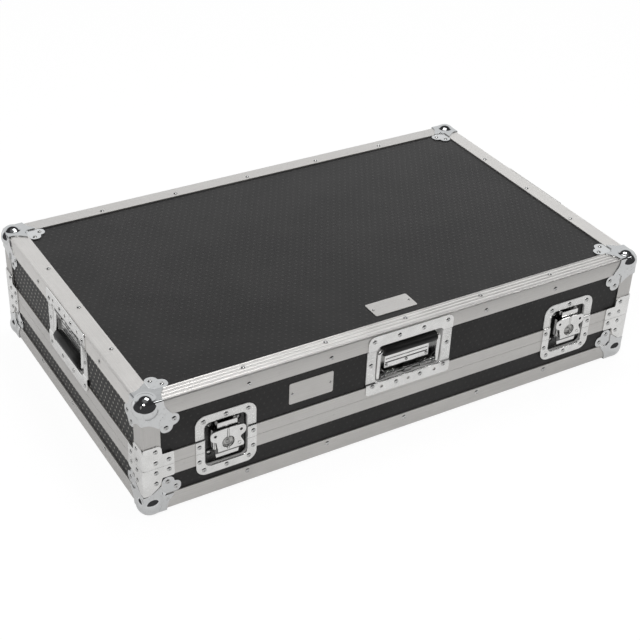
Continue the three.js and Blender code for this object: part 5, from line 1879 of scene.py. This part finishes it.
@dataclass(frozen=True)
class FoamLining:
    """Foam sheets glued inside the boards of one half of the case, with a joint at each corner."""

    node: str
    body: str
    overhead: bool
    pad: float
    wall: float = 10.0
    joint: float = 0.3
    layer: float = 7.7
    window: float = 65.5
    window_low: float = 113.2
    notch: float = 14.0
    sink: float = 1.1
    rings: tuple[float, ...] = (6.0, 14.0, 26.0, 42.0)

    def level(self, outline: Sequence[Vector], low: float, high: float) -> Form:
        """Lays a flat sheet with an outline in X and Y between two heights."""
        return Form().prism((Vector((p.x, p.z, low)) for p in outline), (0, 0, high - low))

    def crowned(self, form: Form, half: Vector, face: float) -> Form:
        """Sinks a pad's face a little towards its glued edges.

        Args:
            form: The pad.
            half: Half its length and half its depth.
            face: The height of its face.

        Returns:
            The same form.
        """
        for ring in self.rings:
            for way, place in (((1, 0, 0), half.x - ring), ((0, 1, 0), half.y - ring)):
                for hand in (-1, 1):
                    form.cut([hand * place * part for part in way], way)
        deep = self.sink if self.overhead else -self.sink
        for vert in form.mesh.verts:
            if abs(vert.co.z - face) < NEAR:
                edge = min(half.x - abs(vert.co.x), half.y - abs(vert.co.y))
                share = 1.0 - min(edge / self.rings[-1], 1.0)
                vert.co.z += deep * share * share
        return form

    def upright(self, side: Side, out: float, half: float, low: float, high: float,
                window: bool) -> Form:
        """Stands a wall's sheet up on one side, with its window round the handle's dish.

        Args:
            side: The side of the case.
            out: How far the sheet's outer face is from the middle of the case.
            half: Half the sheet's length.
            low: Its lowest height.
            high: Its highest height.
            window: True to open it round the dish, up to its top.

        Returns:
            The sheet, in the row frame.
        """
        bends = [Bend(-half, low), Bend(half, low), Bend(half, high)]
        if window:
            sill = self.window_low + CASE.lift
            bends += [Bend(self.window, high), Bend(self.window, sill, 3.0),
                      Bend(-self.window, sill, 3.0), Bend(-self.window, high)]
        outline = rounded(bends + [Bend(-half, high)], 4)
        return Form().plate(outline, -out, -out + self.wall).close().moved(turned(side.value))

    def notched(self, half: Vector) -> list[Vector]:
        """Gives the outline of the pad's lower layer, let in round the three dishes."""
        deep, wide = self.notch, self.window
        return rounded([
            Bend(-half.x, -half.y), Bend(-wide, -half.y), Bend(-wide, deep - half.y),
            Bend(wide, deep - half.y), Bend(wide, -half.y), Bend(half.x, -half.y),
            Bend(half.x, -wide), Bend(half.x - deep, -wide), Bend(half.x - deep, wide),
            Bend(half.x, wide), Bend(half.x, half.y), Bend(-half.x, half.y),
            Bend(-half.x, wide), Bend(deep - half.x, wide), Bend(deep - half.x, -wide),
            Bend(-half.x, -wide),
        ])

    def build(self, shop: Workshop, finishes: Finishes) -> None:
        """Makes the lining."""
        low, high = (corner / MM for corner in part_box(self.node))
        half = Vector((high.x, high.y))
        plain = slab(-half.x, half.x, -half.y, half.y)
        if self.overhead:
            face = high.z - self.pad
            form = self.crowned(self.level(self.notched(half), face, face + self.layer), half, face)
            form.take(self.level(plain, face + self.layer, high.z))
            start, end = low.z, face - self.joint
        else:
            face = low.z + self.pad
            form = self.crowned(self.level(plain, low.z, face), half, face)
            start, end = face + self.joint, high.z
        for side in Side:
            out, run = (half.y, half.x) if side.long else (half.x, half.y - self.wall - self.joint)
            window = self.overhead and side is not Side.BACK
            form.take(self.upright(side, out, run, start, end, window))
        name = f"{self.body}_foam_sheets"
        piece = shop.piece(name, form, Matrix.Identity(4), self.body, "foam", [finishes.foam],
                           [self.node], Edging(1.3, 3, 60.0))


# The edges' own rivets


@dataclass(frozen=True)
class EdgeRivets:
    """The rivets along the aluminium edges."""

    top_inset: float = 20.0
    side_inset: float = 22.0
    flange_z: float = 191.5
    side_z: float = 194.0
    low_z: float = 21.5
    long_top: tuple[float, ...] = (-296.0, -150.0, 0.0, 150.0, 296.0)
    long_flange: tuple[float, ...] = (-296.0, -150.0, 150.0, 296.0)
    short_top: tuple[float, ...] = (-135.5, -4.5, 129.0)
    short_flange: tuple[float, ...] = (-138.0, 122.5)
    low_long: tuple[float, ...] = (-297.0, -150.0, 0.0, 150.0, 297.0)
    low_short: tuple[float, ...] = (-138.0, 0.0, 138.0)

    def build(self, rivets: Mapping[bool, RivetSet]) -> None:
        """Adds the rivets to the sets of the lid and the base."""
        top = top_frame()
        depth, length = CASE.depth / 2, CASE.length / 2
        for edge in (-depth + self.top_inset, depth - self.top_inset):
            rivets[True].add(top, [Rivet(x, edge) for x in self.long_top])
        for edge in (-length + self.side_inset, length - self.side_inset):
            rivets[True].add(top, [Rivet(edge, y) for y in self.short_top])
        for side in Side:
            turn = -1.0 if side is Side.LEFT else 1.0
            flange = self.long_flange if side.long else tuple(turn * y for y in self.short_flange)
            height = self.flange_z if side.long else self.side_z
            rivets[True].add(side.frame(), [Rivet(x, height) for x in flange])
            low = self.low_long if side.long else self.low_short
            rivets[False].add(side.frame(), [Rivet(x, self.low_z) for x in low])


# Studio


@dataclass(frozen=True)
class SoftBox:
    """A square studio light that points at a spot."""

    name: str
    place: tuple[float, float, float]
    aim: tuple[float, float, float]
    size: tuple[float, float]
    power: float

    def build(self) -> None:
        """Makes the light."""
        lamp = bpy.data.lights.new(self.name, "AREA")
        lamp.shape = "RECTANGLE"
        lamp.size, lamp.size_y = self.size
        lamp.energy = self.power
        light = bpy.data.objects.new(self.name, lamp)
        towards = Vector(self.aim) - Vector(self.place)
        light.matrix_world = (Matrix.Translation(self.place)
                              @ towards.to_track_quat("-Z", "Y").to_matrix().to_4x4())
        bpy.context.scene.collection.objects.link(light)


@dataclass(frozen=True)
class Studio:
    """The sweep, the lights, the surroundings and the camera."""

    eye: tuple[float, float, float] = (-1.0910, -1.7647, 1.4308)
    right: tuple[float, float, float] = (0.8613, -0.5068, 0.0374)
    up: tuple[float, float, float] = (0.2541, 0.4932, 0.8320)
    lens: float = 76.84
    floor_shift: tuple[float, float, float] = (2.0, 2.1, 0.0)
    floor_half: float = 3.0
    daylight: float = 0.42
    boxes: tuple[SoftBox, ...] = (
        SoftBox("key", (-1.75, -1.6, 2.7), (0, 0, 0.1), (0.8, 0.6), 22.0),
        SoftBox("overhead", (0.4, 0.3, 2.9), (0, 0, 0.1), (1.3, 1.0), 16.0),
        SoftBox("fill", (2.0, -2.2, 2.0), (0, 0, 0.1), (0.5, 0.8), 7.0),
    )

    def camera(self) -> None:
        """Sets the camera where the photograph was taken from."""
        lens = bpy.data.cameras.new("camera")
        lens.lens = self.lens
        lens.sensor_width = 36.0
        lens.sensor_fit = "HORIZONTAL"
        lens.clip_start, lens.clip_end = 0.01, 100.0
        camera = bpy.data.objects.new("camera", lens)
        right = Vector(self.right).normalized()
        back = right.cross(Vector(self.up)).normalized()
        up = back.cross(right)
        turn = Matrix((right, up, back)).transposed().to_4x4()
        camera.matrix_world = Matrix.Translation(self.eye) @ turn
        bpy.context.scene.collection.objects.link(camera)
        bpy.context.scene.camera = camera

    def surroundings(self) -> None:
        """Sets a plain even light, and a pale room with a dark front for the metal to mirror."""
        world = bpy.data.worlds.new("studio")
        bpy.context.scene.world = world
        graph = Graph(world)
        way = graph.node("ShaderNodeTexCoord", output="Generated")
        x, y, z = (graph.node("ShaderNodeSeparateXYZ", {0: way}, output=i) for i in range(3))
        behind = x * 0.52 + y * 0.85
        wall = behind.ramp(0.1, 0.4) * z.ramp(0.7, 0.56)
        ceiling = z.ramp(0.9, 0.98) * 0.2
        room = graph.blend(wall.most(ceiling), GLOOM, (0.97, 0.975, 0.98, 1.0))
        mirrored = graph.node("ShaderNodeLightPath", output="Is Glossy Ray")
        seen = graph.node("ShaderNodeLightPath", output="Is Camera Ray")
        even = graph.node("ShaderNodeBackground", {"Color": WHITE, "Strength": self.daylight})
        studio = graph.node("ShaderNodeBackground", {"Color": room, "Strength": 1.0})
        white = graph.node("ShaderNodeBackground", {"Color": WHITE, "Strength": 1.0})
        lit = graph.node("ShaderNodeMixShader", {0: mirrored, 1: even, 2: studio})
        mixed = graph.node("ShaderNodeMixShader", {0: seen, 1: lit, 2: white})
        graph.end("ShaderNodeOutputWorld", mixed)

    def floor(self, finishes: Finishes) -> None:
        """Lays the pale sweep."""
        form = Form()
        bmesh.ops.create_grid(form.mesh, x_segments=2, y_segments=2, size=self.floor_half)
        bmesh.ops.translate(form.mesh, vec=self.floor_shift, verts=form.mesh.verts)
        mesh = form.handed_over("sweep")
        mesh.materials.append(finishes.paper)
        sweep = bpy.data.objects.new("sweep", mesh)
        bpy.context.scene.collection.objects.link(sweep)

    def build(self, finishes: Finishes) -> None:
        """Builds the whole studio."""
        bpy.context.scene.view_settings.view_transform = "Standard"
        self.camera()
        self.surroundings()
        self.floor(finishes)
        for box in self.boxes:
            box.build()


def dress_nodes(nodes: Mapping[str, bpy.types.Object], finishes: Finishes) -> None:
    """Gives every CAD node its finish.

    Args:
        nodes: The CAD nodes by name.
        finishes: The finishes of the case.
    """
    for name, node in nodes.items():
        node.data.materials.clear()
        node.data.materials.append(finishes.for_node(name))
        log.info("%s: finished as %s", name, node.data.materials[0].name)


def main() -> None:
    """Builds the case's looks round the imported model."""
    logging.basicConfig(level=logging.INFO, format="%(message)s")
    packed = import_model()
    finishes = Finishes()
    Studio().build(finishes)
    dress_nodes(packed["nodes"], finishes)
    shop = Workshop()
    rivets = {True: RivetSet("lid_rivets", "lid"), False: RivetSet("base_rivets", "base")}
    BallCorner().build(shop, finishes, rivets)
    CornerBrace().build(shop, finishes, rivets)
    ButterflyLatch().build(shop, finishes, rivets)
    for name, side, strip, strip_step in (
            ("front", Side.FRONT, Strip.BELOW, 34.7), ("left", Side.LEFT, Strip.ABOVE, 26.8),
            ("right", Side.RIGHT, Strip.ABOVE, 26.8)):
        BailHandle(name, side, strip, strip_step).build(shop, finishes, rivets[True])
    RearHinge().build(shop, finishes, rivets)
    RibbedAngle().build(shop, finishes)
    EdgeRivets().build(rivets)
    FoamLining("base_foam_lining", "base", False, 10.0).build(shop, finishes)
    FoamLining("lid_foam_lining", "lid", True, 20.0).build(shop, finishes)
    for frame, plate in (
            (Side.FRONT.frame(), NamePlate("front_plate", Run.RIM, -184.0, 144.5, 80.0, 40.0)),
            (top_frame(), NamePlate("top_plate", Run.LONG_TOP, 1.75, -227.6, 80.5, 36.8))):
        plate.build(frame, shop, finishes, rivets[True])
    for one in rivets.values():
        one.build(shop, finishes)
    log.info("%d pieces made", len(shop.names))


if __name__ == "__main__":
    main()
